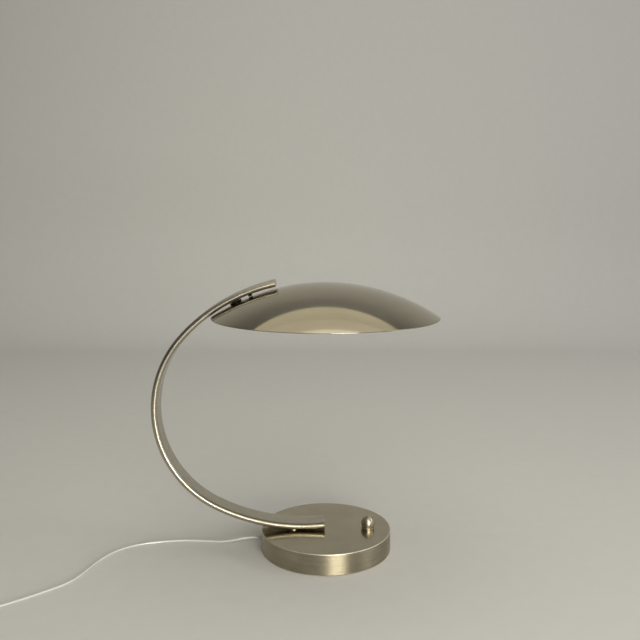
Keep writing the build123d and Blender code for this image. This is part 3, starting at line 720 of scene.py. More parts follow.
def turned(name: str, outline: Outline, where: Matrix, around: int = 96) -> bpy.types.Mesh:
    """Turn an outline round the Z of a frame.

    Args:
        name: Name of the mesh.
        outline: (radius, height) points. One that starts and ends off the axis is closed as a ring.
        where: The frame.
        around: Points round the axis.

    Returns:
        The mesh.
    """
    looped = outline[0][0] > 1e-6 and outline[-1][0] > 1e-6
    points = supported([*outline, outline[0]])[:-1] if looped else supported(outline)
    rings = []
    for radius, height in points:
        turns = (2 * pi * step / around for step in range(around))
        rings.append([where @ Vector((radius * cos(turn), radius * sin(turn), height)) for turn in turns])
    return skin(name, rings, looped=looped)


def drilled(solid: bpy.types.Mesh, cutters: Sequence[bpy.types.Mesh]) -> bpy.types.Mesh:
    """Cut holes in a smooth mesh and keep its shading.

    Args:
        solid: The mesh that is cut.
        cutters: Meshes of what is taken away.

    Returns:
        The cut mesh.
    """
    work = in_scene("work", solid)
    inward, same_side = 0.002, 0.9
    helpers = []
    for cutter in cutters:
        helper = in_scene("cutter", cutter)
        helpers.append(helper)
        modifier = work.modifiers.new("hole", "BOOLEAN")
        modifier.operation = "DIFFERENCE"
        modifier.solver = "EXACT"
        modifier.object = helper
    cut = evaluated(work)
    tree = BVHTree.FromPolygons([v.co for v in solid.vertices], [p.vertices[:] for p in solid.polygons])
    normals = []
    for polygon in cut.polygons:
        for corner in polygon.loop_indices:
            place = cut.vertices[cut.loops[corner].vertex_index].co.lerp(polygon.center, inward)
            hit, facing, index, _ = tree.find_nearest(place)
            if facing.dot(polygon.normal) < same_side:
                normals.append(polygon.normal.copy())
                continue
            source = solid.polygons[index]
            shares = poly_3d_calc([solid.vertices[v].co for v in source.vertices], hit)
            total = Vector()
            for share, loop in zip(shares, source.loop_indices):
                total += solid.corner_normals[loop].vector * share
            normals.append(total.normalized())
    cut.shade_smooth()
    cut.normals_split_custom_set(normals)
    name = solid.name
    for used in (work, *helpers):
        bpy.data.objects.remove(used)
    bpy.data.meshes.remove(solid)
    cut.name = name
    return cut


def bar(name: str, radius: float, low: float, high: float, where: Matrix, around: int = 48) -> bpy.types.Mesh:
    """Round bar, which cuts a hole.

    Args:
        name: Name of the mesh.
        radius: Its radius.
        low: Height of its lower end.
        high: Height of its upper end.
        where: Frame whose Z is its axis.
        around: Points round it.

    Returns:
        The mesh.
    """
    return turned(name, [(0, low), (radius, low), (radius, high), (0, high)], where, around)


def spline_points(points: Iterable[Point]) -> list[Vector]:
    """Points along the smooth line that a route's points control.

    Args:
        points: The route's points.

    Returns:
        Points read from the route's own spline.
    """
    places = list(points)
    curve = bpy.data.curves.new("route", "CURVE")
    curve.dimensions = "3D"
    curve.resolution_u = CURVE_STEPS
    spline = curve.splines.new("NURBS")
    spline.points.add(len(places) - 1)
    for control, place in zip(spline.points, places):
        control.co = (*place, 1)
    spline.order_u = 3
    spline.use_endpoint_u = True
    spline.resolution_u = CURVE_STEPS
    route = in_scene("route", curve)
    mesh = evaluated(route)
    line = [vertex.co.copy() for vertex in mesh.vertices]
    bpy.data.objects.remove(route)
    bpy.data.meshes.remove(mesh)
    apart = 1e-5
    return [line[0]] + [here for before, here in zip(line, line[1:]) if (here - before).length > apart]


def tube(name: str, line: Sequence[Vector], radius: float, around: int = 14) -> bpy.types.Mesh:
    """Round tube along a line, with rounded ends and a UV map in metres along it.

    Args:
        name: Name of the mesh.
        line: Points of its centre line.
        radius: Its radius.
        around: Points round it.

    Returns:
        The mesh.
    """
    reach = [0.0]
    for before, here in zip(line, line[1:]):
        reach.append(reach[-1] + (here - before).length)
    along = (line[1] - line[0]).normalized()
    across = along.orthogonal().normalized()
    rings = []
    rows = []
    for place, point in enumerate(line):
        ahead = (line[min(place + 1, len(line) - 1)] - line[max(place - 1, 0)]).normalized()
        across = (along.rotation_difference(ahead) @ across).normalized()
        along = ahead
        up = along.cross(across)
        sizes = (radius,)
        if place in (0, len(line) - 1):
            sizes = (0.0, radius) if place == 0 else (radius, 0.0)
        for size in sizes:
            turns = (2 * pi * step / around for step in range(around))
            rings.append([point + (across * cos(turn) + up * sin(turn)) * size for turn in turns])
            rows.append(reach[place])
    return skin(name, rings, rows=rows)


def whole(name: str, meshes: Sequence[bpy.types.Mesh]) -> bpy.types.Mesh:
    """Join meshes into one.

    Args:
        name: Name of the joined mesh.
        meshes: The meshes.

    Returns:
        The joined mesh.
    """
    work = bmesh.new()
    for mesh in meshes:
        work.from_mesh(mesh)
    return shade_smooth(settled(work, name))


def place_piece(
    mesh: bpy.types.Mesh,
    body: str,
    material: bpy.types.Material | None,
    stands_for: Sequence[str] = (),
) -> bpy.types.Object:
    """Put a finished mesh on its body.

    Args:
        mesh: The piece's mesh, in the lamp's own frame.
        body: Body it rides on.
        material: Its material, or None where the mesh has its own.
        stands_for: CAD nodes that it replaces.

    Returns:
        The piece.
    """
    if material:
        mesh.materials.clear()
        mesh.materials.append(material)
    piece = in_scene(mesh.name, mesh)
    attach(piece, body)
    if stands_for:
        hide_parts(*stands_for)
    log.info("%s: %d faces on %s", piece.name, len(mesh.polygons), body)
    return piece


def clean_copy(node: str, body: str, material: bpy.types.Material) -> bpy.types.Object:
    """Copy of a CAD node with joined points and smooth shading, in the node's stead.

    Args:
        node: The CAD node.
        body: Body it rides on.
        material: Its material.

    Returns:
        The piece.
    """
    same_place = 2e-6
    work = bmesh.new()
    work.from_mesh(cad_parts[node].data)
    bmesh.ops.remove_doubles(work, verts=work.verts, dist=same_place)
    mesh = shade_smooth(settled(work, node + "_finished"))
    return place_piece(mesh, body, material, [node])


def coat(mesh: bpy.types.Mesh, *finishes: SatinNickel) -> None:
    """Give a mesh its own finishes, in the order of its faces' indices.

    Args:
        mesh: The mesh.
        finishes: The finishes.
    """
    mesh.materials.clear()
    for finish in finishes:
        mesh.materials.append(finish.material())


def dress(material: bpy.types.Material, *nodes: str) -> None:
    """Give a material to CAD nodes that are shown as they are.

    Args:
        material: The material.
        nodes: Names of the nodes.
    """
    for node in nodes:
        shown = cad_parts[node]
        shown.data.materials.clear()
        shown.data.materials.append(material)
        log.info("%s: as in the model", node)


class GrownForm:
    """Geometry Nodes tree, with named inputs, that sets copies of a small form on points."""

    def __init__(self, name: str, **kinds: str) -> None:
        """Start the tree with its inputs.

        Args:
            name: Name of the tree.
            kinds: Kind of each input, named with _ for a blank.
        """
        self.tree = bpy.data.node_groups.new(name, "GeometryNodeTree")
        face = self.tree.interface
        face.new_socket("Geometry", in_out="OUTPUT", socket_type="NodeSocketGeometry")
        for key, kind in {**kinds, "Finish": "Material"}.items():
            face.new_socket(key.replace("_", " "), in_out="INPUT", socket_type=f"NodeSocket{kind}")
        self.given = self.tree.nodes.new("NodeGroupInput").outputs

    def node(self, kind: str, **inputs: object) -> bpy.types.NodeSocket:
        """Add a node and feed its inputs.

        Args:
            kind: Blender's name of the node type, without its first part.
            inputs: Number or socket for each input, named with _ for a blank.

        Returns:
            The node's first output.
        """
        made = self.tree.nodes.new("GeometryNode" + kind)
        for key, value in inputs.items():
            socket = made.inputs[key.replace("_", " ")]
            if isinstance(value, bpy.types.NodeSocket):
                self.tree.links.new(value, socket)
            else:
                socket.default_value = value
        return made.outputs[0]

    def finish(self, copies: bpy.types.NodeSocket) -> None:
        """End the tree in smooth, real and painted copies.

        Args:
            copies: The copies on their points.
        """
        smooth = self.node("SetShadeSmooth", Geometry=copies)
        solid = self.node("RealizeInstances", Geometry=smooth)
        painted = self.node("SetMaterial", Geometry=solid, Material=self.given["Finish"])
        self.tree.links.new(painted, self.tree.nodes.new("NodeGroupOutput").inputs["Geometry"])

    def mesh(self, name: str, **values: object) -> bpy.types.Mesh:
        """Run the tree with its inputs set, and keep the result as a plain mesh.

        Args:
            name: Name of the mesh.
            values: Value of each input, named with _ for a blank.

        Returns:
            The mesh.
        """
        carrier = in_scene(name + "_carrier", bpy.data.meshes.new(name + "_seed"))
        modifier = carrier.modifiers.new("grow", "NODES")
        modifier.node_group = self.tree
        items = self.tree.interface.items_tree
        named = {item.name: item.identifier for item in items if item.in_out == "INPUT"}
        for key, value in values.items():
            modifier[named[key.replace("_", " ")]] = value
        mesh = evaluated(carrier)
        mesh.name = name
        bpy.data.objects.remove(carrier)
        mesh.set_sharp_from_angle(angle=radians(30))
        return mesh


class RibRing(GrownForm):
    """Half-round ribs round an axis."""

    def __init__(self) -> None:
        """Build the tree."""
        super().__init__(
            "rib_ring", Count="Int", Ring_Radius="Float", Rib_Radius="Float", Rib_Length="Float",
            Place="Vector", Turn="Vector",
        )
        given = self.given
        ring = self.node("MeshCircle", Vertices=given["Count"], Radius=given["Ring Radius"])
        rib = self.node("MeshCylinder", Vertices=8, Radius=given["Rib Radius"], Depth=given["Rib Length"])
        ribs = self.node("InstanceOnPoints", Points=ring, Instance=rib)
        moved = self.node("Transform", Geometry=ribs, Translation=given["Place"], Rotation=given["Turn"])
        self.finish(moved)


class RidgeRow(GrownForm):
    """Upright half-round ridges in a row."""

    def __init__(self) -> None:
        """Build the tree."""
        super().__init__(
            "ridge_row", Count="Int", Start="Vector", Step="Vector", Ridge_Radius="Float",
            Ridge_Length="Float",
        )
        given = self.given
        row = self.node("MeshLine", Count=given["Count"], Start_Location=given["Start"], Offset=given["Step"])
        ridge = self.node(
            "MeshCylinder", Vertices=10, Radius=given["Ridge Radius"], Depth=given["Ridge Length"]
        )
        self.finish(self.node("InstanceOnPoints", Points=row, Instance=ridge))


class Workshop:
    """Finishes that several sub-assemblies share."""

    def __init__(self) -> None:
        """Make each material once."""
        self.black_metal = PlainMetal("black_oxide", (0.022, 0.021, 0.02), 0.42, 0.6).material()
        self.zinc = PlainMetal("zinc_plate", (0.52, 0.52, 0.5), 0.32).material()
        self.brass = PlainMetal("turned_brass", (0.68, 0.52, 0.26), 0.28).material()
        self.pressed = PlainMetal("pressed_aluminium", (0.7, 0.7, 0.69), 0.3).material()
        self.pins = PlainMetal("nickelled_pins", (0.66, 0.62, 0.52), 0.2).material()
        self.rubber = Moulded("stop_rubber", (0.02, 0.02, 0.02), 0.7).material()
        self.black_plastic = Moulded("black_moulding", (0.03, 0.03, 0.03), 0.45).material()
        self.holder = Moulded("holder_moulding", (0.022, 0.022, 0.022), 0.26, coat=0.3).material()
        self.white_plastic = Moulded("white_moulding", (0.8, 0.8, 0.77), 0.4).material()
        self.cable = Moulded("cable_sheath", (0.82, 0.82, 0.8), 0.36).material()
        self.plug = Moulded("plug_moulding", (0.84, 0.84, 0.81), 0.3, coat=0.2).material()
        self.casting = Casting().material()
        self.felt = PressedFelt().material()
        self.opal = OpalGlass().material()
        self.sleeve = ClearSleeve().material()
        self.clear_rubber = ClearRubber().material()


@dataclass
class Base:
    """Turned can with its felt, its weight and the spacer under the arm."""

    radius: float = 0.0965
    height: float = 0.0315
    wall: float = 0.002
    top: float = 0.0025
    edge_radius: float = 0.0012
    lip_radius: float = 0.0004
    show: float = 0.0008
    felt_radius: float = 0.094
    felt_thickness: float = 0.0015
    nipple_x: float = -0.049
    nipple_hole: float = 0.0051
    knob_x: float = 0.063
    inner_fillet: float = 0.0005
    felt_edge: float = 0.0003
    facing_up: float = 0.98
    facing_side: float = 0.05

    def shell(self, exit_frame: Matrix, exit_hole: float) -> bpy.types.Mesh:
        """Can of the base, with its holes.

        Args:
            exit_frame: Frame of the cord's exit, at the base's axis.
            exit_hole: Radius of the hole for the cord's sleeve.

        Returns:
            The mesh, with its side, its top and its edges' painted highlight as three materials.
        """
        inner = self.radius - self.wall
        outline = rounded(
            [
                (0, self.height - self.top),
                (inner, self.height - self.top, self.inner_fillet),
                (inner, self.show, self.lip_radius),
                (self.radius, self.show, self.lip_radius),
                (self.radius, self.height, self.edge_radius),
                (0, self.height),
            ],
            steps=8,
        )
        solid = turned("base_can", outline, Matrix.Identity(4), around=256)
        below, above = 0.02, 0.05
        within, beyond = 0.08, 0.11
        mesh = drilled(
            solid,
            [
                bar("nipple_hole", self.nipple_hole, below, above, Matrix.Translation((self.nipple_x, 0, 0))),
                bar("bush_hole", self.nipple_hole, below, above, Matrix.Translation((self.knob_x, 0, 0))),
                bar("exit_hole", exit_hole, within, beyond, exit_frame),
            ],
        )
        side = SatinNickel(
            "base_side_nickel", roughness=0.36, anisotropy=0.9, unevenness=0.06, line_pitch=0.0014,
            line_height=0.000014, patch_size=0.03, patina=0.24, line_tone=0.16,
        )
        top = SatinNickel(
            "base_top_nickel", roughness=0.15, anisotropy=0.2, unevenness=0.03, patina=0.16, patch_size=0.035
        )
        # Lighter nickel on the roundings of the top and bottom edges: a painted highlight, the bright line
        # these edges show.
        painted_highlight_edge = SatinNickel("worn_edge_nickel", colour=(0.84, 0.78, 0.64), roughness=0.42, anisotropy=0.0)
        coat(mesh, side, top, painted_highlight_edge)
        # Faces on the edge roundings take the painted highlight; the others take the side or the top finish.
        outside = self.radius - self.edge_radius * 1.05
        for face in mesh.polygons:
            level = face.normal.z
            rounding = hypot(*face.center[:2]) > outside and self.facing_side < abs(level) < self.facing_up
            face.material_index = 2 if rounding else int(level > self.facing_up)
        return mesh

    def build(self, shop: Workshop, exit_frame: Matrix, exit_hole: float) -> None:
        """Make the base's pieces and dress what is inside it.

        Args:
            shop: The shared finishes.
            exit_frame: Frame of the cord's exit, at the base's axis.
            exit_hole: Radius of the hole for the cord's sleeve.
        """
        place_piece(self.shell(exit_frame, exit_hole), "root", None, ["base_shell"])
        rim = self.felt_radius
        outline = rounded(
            [
                (0, 0),
                (rim, 0, self.felt_edge),
                (rim, self.felt_thickness, self.felt_edge),
                (0, self.felt_thickness),
            ]
        )
        felt = turned("felt_disc", outline, Matrix.Identity(4), around=192)
        place_piece(felt, "root", shop.felt, ["felt_pad"])
        spacer = SatinNickel("spacer_nickel", centre=(self.nipple_x, 0), roughness=0.22).material()
        clean_copy("foot_spacer", "root", spacer)
        dress(shop.casting, "base_weight")
        dress(shop.zinc, "cover_plate", "cover_screws", "foot_plate")
        dress(shop.zinc, "nipple_washer", "nipple_nut", "arm_nipple")
        dress(shop.black_plastic, "cord_clamp", "dimmer_body")
        dress(shop.white_plastic, "terminal_block")
        dress(shop.clear_rubber, "mains_tail")
        dress(shop.cable, "arm_lead", "dimmer_leads", "arm_cable")


@dataclass
class Dimmer:
    """Domed knob on its ring, turned from brass and plated."""

    x: float = 0.063
    base_top: float = 0.0315
    collar_radius: float = 0.0102
    collar_thickness: float = 0.0008
    bush_hole: float = 0.0051
    knob_gap: float = 0.0007
    foot_radius: float = 0.0089
    belly_radius: float = 0.01
    belly_height: float = 0.0055
    height: float = 0.0164
    hollow_radius: float = 0.0079
    hollow_depth: float = 0.0034
    shaft_radius: float = 0.00302
    shaft_depth: float = 0.009
    edge_break: float = 0.0002
    ring_break: float = 0.0001
    ring_edge: float = 0.0003

    def knob_outline(self) -> Outline:
        """Outline of the knob above its own foot, hollow below.

        Returns:
            The outline's points.
        """
        steps = 22
        flank_steps = 6
        edge = self.edge_break
        outline: Outline = [
            (0, self.hollow_depth + self.shaft_depth),
            (self.shaft_radius, self.hollow_depth + self.shaft_depth),
            (self.shaft_radius, self.hollow_depth),
            (self.hollow_radius, self.hollow_depth),
            (self.hollow_radius, edge),
            (self.hollow_radius + edge, 0),
            (self.foot_radius - edge, 0),
        ]
        flank = self.belly_radius - self.foot_radius
        for step in range(flank_steps + 1):
            share = step / flank_steps
            radius = self.foot_radius + flank * sin(share * pi / 2)
            outline.append((radius, edge + (self.belly_height - edge) * share))
        rise = self.height - self.belly_height
        for step in range(1, steps + 1):
            turn = pi / 2 * step / steps
            outline.append((self.belly_radius * cos(turn), self.belly_height + rise * sin(turn)))
        return outline

    def build(self, shop: Workshop) -> None:
        """Make the knob and its ring, and dress what is under them.

        Args:
            shop: The shared finishes.
        """
        # This nickel is lighter than the base's: a painted highlight for the broad shine the domed knob
        # catches.
        nickel = SatinNickel(
            "knob_nickel_painted_highlight", centre=(self.x, 0), colour=(0.6, 0.54, 0.42), roughness=0.36, anisotropy=0.5,
            unevenness=0.02, line_pitch=0.0003, line_height=0.0000015,
        ).material()
        foot = Matrix.Translation((self.x, 0, self.base_top + self.collar_thickness + self.knob_gap))
        knob = turned("domed_knob", self.knob_outline(), foot)
        place_piece(knob, "dimmer", nickel, ["dimmer_knob"])
        high = self.collar_thickness
        outline = rounded(
            [
                (self.bush_hole, high / 2),
                (self.bush_hole, 0, self.ring_break),
                (self.collar_radius, 0, self.ring_break),
                (self.collar_radius, high, self.ring_edge),
                (self.bush_hole, high, self.ring_break),
                (self.bush_hole, high / 2 + 0.0001),
            ]
        )
        ring = turned("knob_ring", outline, Matrix.Translation((self.x, 0, self.base_top)))
        place_piece(ring, "root", nickel, ["dimmer_collar"])
        dress(shop.zinc, "dimmer_nut", "dimmer_shaft")


@dataclass
class Arm:
    """Flat-oval tube bent in three arcs, with a plug in each end."""

    width: float = 0.0366
    thickness: float = 0.0094
    wall: float = 0.0015
    foot_end_x: float = -0.002
    foot_gap: float = 0.0018
    base_top: float = 0.0315
    foot_rise: float = 6.9
    radii: tuple[float, float, float] = (0.2794, 0.1617, 0.2558)
    sweeps: tuple[float, float, float] = (33.5, 105.6, 35.6)
    edge_break: float = 0.0003
    cap_gap: float = 0.00005
    cap_depth: float = 0.004
    cap_dish: float = 0.0025
    nipple_bore: float = 0.00505
    stud_bore: float = 0.0051
    stop_bore: float = 0.00155
    stop_offset: float = 0.0235
    flat_margin: float = 0.0003
    ring_count: int = 190

    def __post_init__(self) -> None:
        """Work out where the centre line starts."""
        low = self.base_top + self.foot_gap + self.thickness / 2
        self.start = Vector((self.foot_end_x, 0, low + self.radii[0] * (1 - cos(radians(self.foot_rise)))))
        self.lengths = [radius * radians(sweep) for radius, sweep in zip(self.radii, self.sweeps)]
        self.length = sum(self.lengths)

    def at(self, distance: float) -> tuple[Vector, Vector]:
        """Centre line at a distance from the foot's end.

        Args:
            distance: That distance.

        Returns:
            The point, and the direction from the foot to the top.
        """
        point = self.start.copy()
        turn = radians(180 + self.foot_rise)
        for place, (radius, length) in enumerate(zip(self.radii, self.lengths)):
            step = min(distance, length) if place < 2 else distance
            side = Vector((sin(turn), 0, -cos(turn)))
            centre = point + side * radius
            swept = step / radius
            point = centre - Vector((sin(turn - swept), 0, -cos(turn - swept))) * radius
            turn -= swept
            distance -= step
            if distance <= 0:
                break
        return point, Vector((cos(turn), 0, sin(turn)))

    def section(self, distance: float, inset: float, steps: int = 12) -> list[Vector]:
        """Flat-oval ring at a distance from the foot's end.

        Args:
            distance: That distance.
            inset: How far the ring lies inside the tube's outside.
            steps: Pieces of each half circle.

        Returns:
            The ring's points.
        """
        point, along = self.at(distance)
        out = Vector((-along.z, 0, along.x))
        radius = self.thickness / 2 - inset
        flat = self.width / 2 - self.thickness / 2
        ring = []
        for side in (1, -1):
            for step in range(steps + 1):
                turn = -pi / 2 + pi * step / steps
                ring.append((side * (flat + radius * cos(turn)), side * radius * sin(turn)))
            near = flat - self.flat_margin
            ring += [(side * near, side * radius), (0.0, side * radius), (-side * near, side * radius)]
        return [point + Vector((0, 1, 0)) * y + out * z for y, z in ring]

    def stations(self) -> list[float]:
        """Distances of the rings along the tube.

        Returns:
            The distances, from the foot's end.
        """
        near = [self.edge_break, self.edge_break + 0.0006]
        middle = [self.length * step / self.ring_count for step in range(1, self.ring_count)]
        return near + middle + [self.length - place for place in reversed(near)]

    def reach_at(self, slope: float) -> float:
        """Distance from the foot's end at which the last arc has a slope.

        Args:
            slope: That slope, in degrees.

        Returns:
            The distance.
        """
        top_slope = 180 + self.foot_rise - sum(self.sweeps)
        share = 1 - (slope - top_slope) / self.sweeps[2]
        return self.lengths[0] + self.lengths[1] + share * self.lengths[2]

    def tube_mesh(self, holes: Sequence[bpy.types.Mesh]) -> bpy.types.Mesh:
        """The tube with its broken edges and its holes.

        Args:
            holes: Meshes of the holes.

        Returns:
            The mesh.
        """
        stations = self.stations()
        inside = self.wall
        rings = [(0.0, self.edge_break)] + [(place, 0.0) for place in stations]
        rings += [(self.length, self.edge_break), (self.length, inside - self.edge_break / 2)]
        rings += [(place, inside) for place in reversed(stations)]
        rings += [(0.0, inside - self.edge_break / 2)]
        points = [self.section(place, inset) for place, inset in rings]
        around = [0.0]
        first = points[1]
        for here, after in zip(first, [*first[1:], first[0]]):
            around.append(around[-1] + (after - here).length)
        solid = skin("arm_bent_tube", points, looped=True, rows=[place for place, _ in rings], columns=around)
        return drilled(solid, holes)

    def cap_mesh(self, name: str, from_end: Callable[[float], float]) -> bpy.types.Mesh:
        """Plug in one end of the tube.

        Args:
            name: Name of the mesh.
            from_end: Gives the distance along the tube for a depth in this end.

        Returns:
            The mesh.
        """
        inset = self.wall + self.cap_gap
        levels = [(0.0, self.cap_dish), (0.0, 0.0006), (0.0, 0.0002), (0.0002, 0.0), (0.0008, 0.0)]
        levels += [(self.cap_depth, 0.0), (self.cap_depth, self.cap_dish)]
        rings = [self.section(from_end(depth), inset + extra) for depth, extra in levels]
        return skin(name, rings)

    def build(self, shop: Workshop, holes: Sequence[bpy.types.Mesh]) -> None:
        """Make the tube and its plugs.

        Args:
            shop: The shared finishes.
            holes: Meshes of the tube's holes.
        """
        nickel = SatinNickel(
            "arm_nickel", brushing=Brushing.ALONG, colour=(0.5, 0.468, 0.385), roughness=0.28, anisotropy=0.7
        ).material()
        foot = self.cap_mesh("arm_foot_plug", lambda depth: depth)
        top = self.cap_mesh("arm_top_plug", lambda depth: self.length - depth)
        for mesh, node in ((self.tube_mesh(holes), "arm_tube"), (foot, "arm_foot_cap"), (top, "arm_top_cap")):
            place_piece(mesh, "root", nickel, [node])


@dataclass
class Shade:
    """Shallow spun dome with its joint, its bracket, and the lampholders under it."""

    diameter: float = 0.33
    depth: float = 0.049
    thickness: float = 0.0012
    joint_offset: float = 0.129
    joint_lean: float = 1.4
    joint_gap: float = 0.0034
    joint_hole: float = 0.0081
    rim_trim: float = 0.0002
    dome_steps: int = 48
    rim_margin: float = 0.0005
    rim_steps: int = 12
    holder_above_rim: float = 0.016
    bracket_half: float = 0.001
    holder_length: float = 0.045
    holder_radius: float = 0.0125
    holder_back_radius: float = 0.009
    holder_back_length: float = 0.01
    holder_cup: float = 0.02
    holder_band: float = 0.004
    band_step: float = 0.0007
    band_slope: float = 0.0005
    cup_play: float = 0.0001
    cup_flare: float = 0.0012
    lead_hole: float = 0.0008
    nipple_half: float = 0.0115
    nipple_hole: float = 0.00505
    cap_radius: float = 0.007
    cap_out: float = 0.003
    cap_length: float = 0.021
    bulb_radius: float = 0.0125
    bulb_length: float = 0.055
    bulb_neck: float = 0.0068
    bulb_shoulder: float = 0.011
    rib_count: int = 28
    rib_radius: float = 0.0007
    rib_sink: float = 0.0009
    rib_spare: float = 0.001

    def hang(self, arm: Arm) -> None:
        """Work out the dome's place from the arm's.

        Args:
            arm: The arm that carries it.
        """
        self.radius = (self.diameter**2 / 4 + self.depth**2) / (2 * self.depth)
        angle = asin(self.joint_offset / self.radius)
        self.joint_reach = arm.reach_at(degrees(angle) + self.joint_lean)
        point, _ = arm.at(self.joint_reach)
        self.normal = Vector((-sin(angle), 0, cos(angle)))
        self.joint = point - self.normal * (arm.thickness / 2 + self.joint_gap)
        self.centre = self.joint - self.normal * self.radius
        self.rim_z = self.centre.z + self.radius - self.depth
        self.holder_z = self.rim_z + self.holder_above_rim

    def dome_mesh(self) -> bpy.types.Mesh:
        """Dome with a rim polished to a full round, and the joint's hole.

        Returns:
            The mesh, with its outside and its lining as two materials.
        """
        low = self.radius - self.depth
        half = self.thickness / 2
        middle = self.radius - half
        end = asin((self.diameter / 2 - half - self.rim_trim) / middle)
        turns = [end * step / self.dome_steps for step in range(self.dome_steps + 1)]
        inner = middle - half
        outline: Outline = [(inner * sin(turn), inner * cos(turn) - low) for turn in turns]
        for step in range(1, self.rim_steps):
            swing = end + pi - pi * step / self.rim_steps
            outline.append(
                (middle * sin(end) + half * sin(swing), middle * cos(end) - low + half * cos(swing))
            )
        outline += [(self.radius * sin(turn), self.radius * cos(turn) - low) for turn in reversed(turns)]
        level = Matrix.Translation((self.centre.x, 0, self.rim_z))
        solid = turned("spun_dome", outline, level, around=240)
        reach = 0.02
        across = axis_frame(self.joint, self.normal)
        hole = bar("joint_hole", self.joint_hole, -reach, reach, across, around=64)
        mesh = drilled(solid, [hole])
        axis = (self.centre.x, 0)
        outside = SatinNickel(
            "dome_nickel", centre=axis, roughness=0.09, anisotropy=0.2, unevenness=0.02, line_pitch=0.0011
        )
        coat(mesh, outside, SatinNickel("lining_nickel", centre=axis, roughness=0.3, anisotropy=0.3))
        for face in mesh.polygons:
            inward = (face.center - self.centre).length < middle
            face.material_index = int(inward and face.center.z > self.rim_z + self.rim_margin)
        return mesh

    def holder_mesh(self, name: str, side: int) -> bpy.types.Mesh:
        """Body of one lampholder.

        Args:
            name: Name of the mesh.
            side: 1 for the rear, -1 for the front.

        Returns:
            The mesh.
        """
        back, end, outer = self.holder_back_length, self.holder_length, self.holder_radius
        cup = self.cap_radius + self.cup_play
        waist = outer - self.band_step
        band, slope = self.holder_band, self.band_slope
        outline = rounded(
            [
                (self.nipple_hole, self.nipple_half / 2),
                (self.nipple_hole, 0, 0.0003),
                (self.holder_back_radius, 0, 0.0006),
                (self.holder_back_radius, back, 0.0005),
                (outer, back, 0.0008),
                (outer, back + band, 0.0005),
                (waist, back + band + slope, 0.0003),
                (waist, end - band - slope, 0.0003),
                (outer, end - band, 0.0005),
                (outer, end, 0.0009),
                (cup + self.cup_flare, end, 0.0004),
                (cup, end - self.cup_flare, 0.0004),
                (cup, end - self.holder_cup, 0.0003),
                (self.lead_hole, end - self.holder_cup, 0.0003),
                (self.lead_hole, self.nipple_half, 0.0002),
                (self.nipple_hole, self.nipple_half, 0.0002),
                (self.nipple_hole, self.nipple_half / 2 + 0.0001),
            ],
            steps=4,
        )
        return turned(name, outline, self.holder_frame(side))

    def holder_frame(self, side: int) -> Matrix:
        """Frame of the rear (1) or front (-1) lampholder, its Z outwards along Y."""
        return axis_frame((self.centre.x, side * self.bracket_half, self.holder_z), (0, side, 0))

    def bulb_outline(self) -> Outline:
        """Outline of a bulb's glass from its neck.

        Returns:
            The outline's points.
        """
        outline: Outline = [(0, 0), (self.bulb_neck, 0)]
        neck_steps, end_steps = 14, 16
        for step in range(1, neck_steps + 1):
            share = step / neck_steps
            eased = share * share * (3 - 2 * share)
            radius = self.bulb_neck + (self.bulb_radius - self.bulb_neck) * (0.35 * share + 0.65 * eased)
            outline.append((radius, self.bulb_shoulder * share))
        straight = self.bulb_length - self.bulb_radius
        for step in range(end_steps + 1):
            turn = pi / 2 * step / end_steps
            outline.append((self.bulb_radius * cos(turn), straight + self.bulb_radius * sin(turn)))
        return outline

    def cap_outline(self) -> Outline:
        """Outline of a bulb's screw cap, from its contact to the glass.

        Returns:
            The outline's points.
        """
        outline: Outline = [(0, -0.0014), (0.003, -0.0014), (0.004, -0.0006), (0.0042, 0.0), (0.0058, 0.0012)]
        turns, steps_per_turn, wave_height, first = 5, 8, 0.0003, 0.0018
        pitch = (self.cap_length - 0.006) / turns
        for step in range(turns * steps_per_turn + 1):
            wave = cos(2 * pi * step / steps_per_turn)
            radius = self.cap_radius - wave_height + wave_height * wave
            outline.append((radius, first + pitch * step / steps_per_turn))
        outline += [(self.cap_radius, self.cap_length - 0.001), (self.cap_radius - 0.0001, self.cap_length)]
        return [*outline, (0, self.cap_length)]

    def build(self, shop: Workshop) -> None:
        """Make the shade's pieces.

        Args:
            shop: The shared finishes.
        """
        place_piece(self.dome_mesh(), "shade", None, ["shade_dome"])
        clean_copy("joint_socket", "joint", shop.black_metal)
        clean_copy("shade_buffer", "root", shop.rubber)
        for node in ("swivel_washer", "swivel_nut"):
            clean_copy(node, "joint", shop.zinc)
        clean_copy("socket_retainer", "joint", shop.brass)
        for node in ("shade_stiffener", "holder_bracket", "holder_nipple"):
            clean_copy(node, "shade", shop.zinc)
        clean_copy("ball_stud", "root", shop.brass)
        dress(shop.zinc, "joint_anchor", "trunnion_pins")
        self.build_lights(shop)

    def build_lights(self, shop: Workshop) -> None:
        """Make the lampholders and the bulbs.

        Args:
            shop: The shared finishes.
        """
        ribs = RibRing()
        for place, side in (("front", -1), ("rear", 1)):
            holder = self.holder_mesh(f"lampholder_body_{place}", side)
            place_piece(holder, "shade", shop.holder, [f"lampholder_{place}"])
            start = self.holder_back_length + self.holder_band + self.band_slope
            length = self.holder_length - self.holder_band - self.band_slope - start
            centre = self.holder_frame(side) @ Vector((0, 0, start + length / 2))
            grips = ribs.mesh(
                f"lampholder_ribs_{place}",
                Count=self.rib_count,
                Ring_Radius=self.holder_radius - self.rib_sink,
                Rib_Radius=self.rib_radius,
                Rib_Length=length - self.rib_spare,
                Place=centre,
                Turn=(pi / 2, 0.0, 0.0),
                Finish=shop.holder,
            )
            place_piece(grips, "shade", shop.holder)
            cap_end = self.holder_length + self.cap_out
            seat = self.holder_frame(side) @ Matrix.Translation((0, 0, cap_end - self.cap_length))
            cap = turned(f"screw_cap_{place}", self.cap_outline(), seat, around=64)
            place_piece(cap, "shade", shop.pressed, [f"bulb_cap_{place}"])
            neck = self.holder_frame(side) @ Matrix.Translation((0, 0, cap_end))
            glass = turned(f"tube_bulb_{place}", self.bulb_outline(), neck, around=72)
            place_piece(glass, "shade", shop.opal, [f"bulb_glass_{place}"])


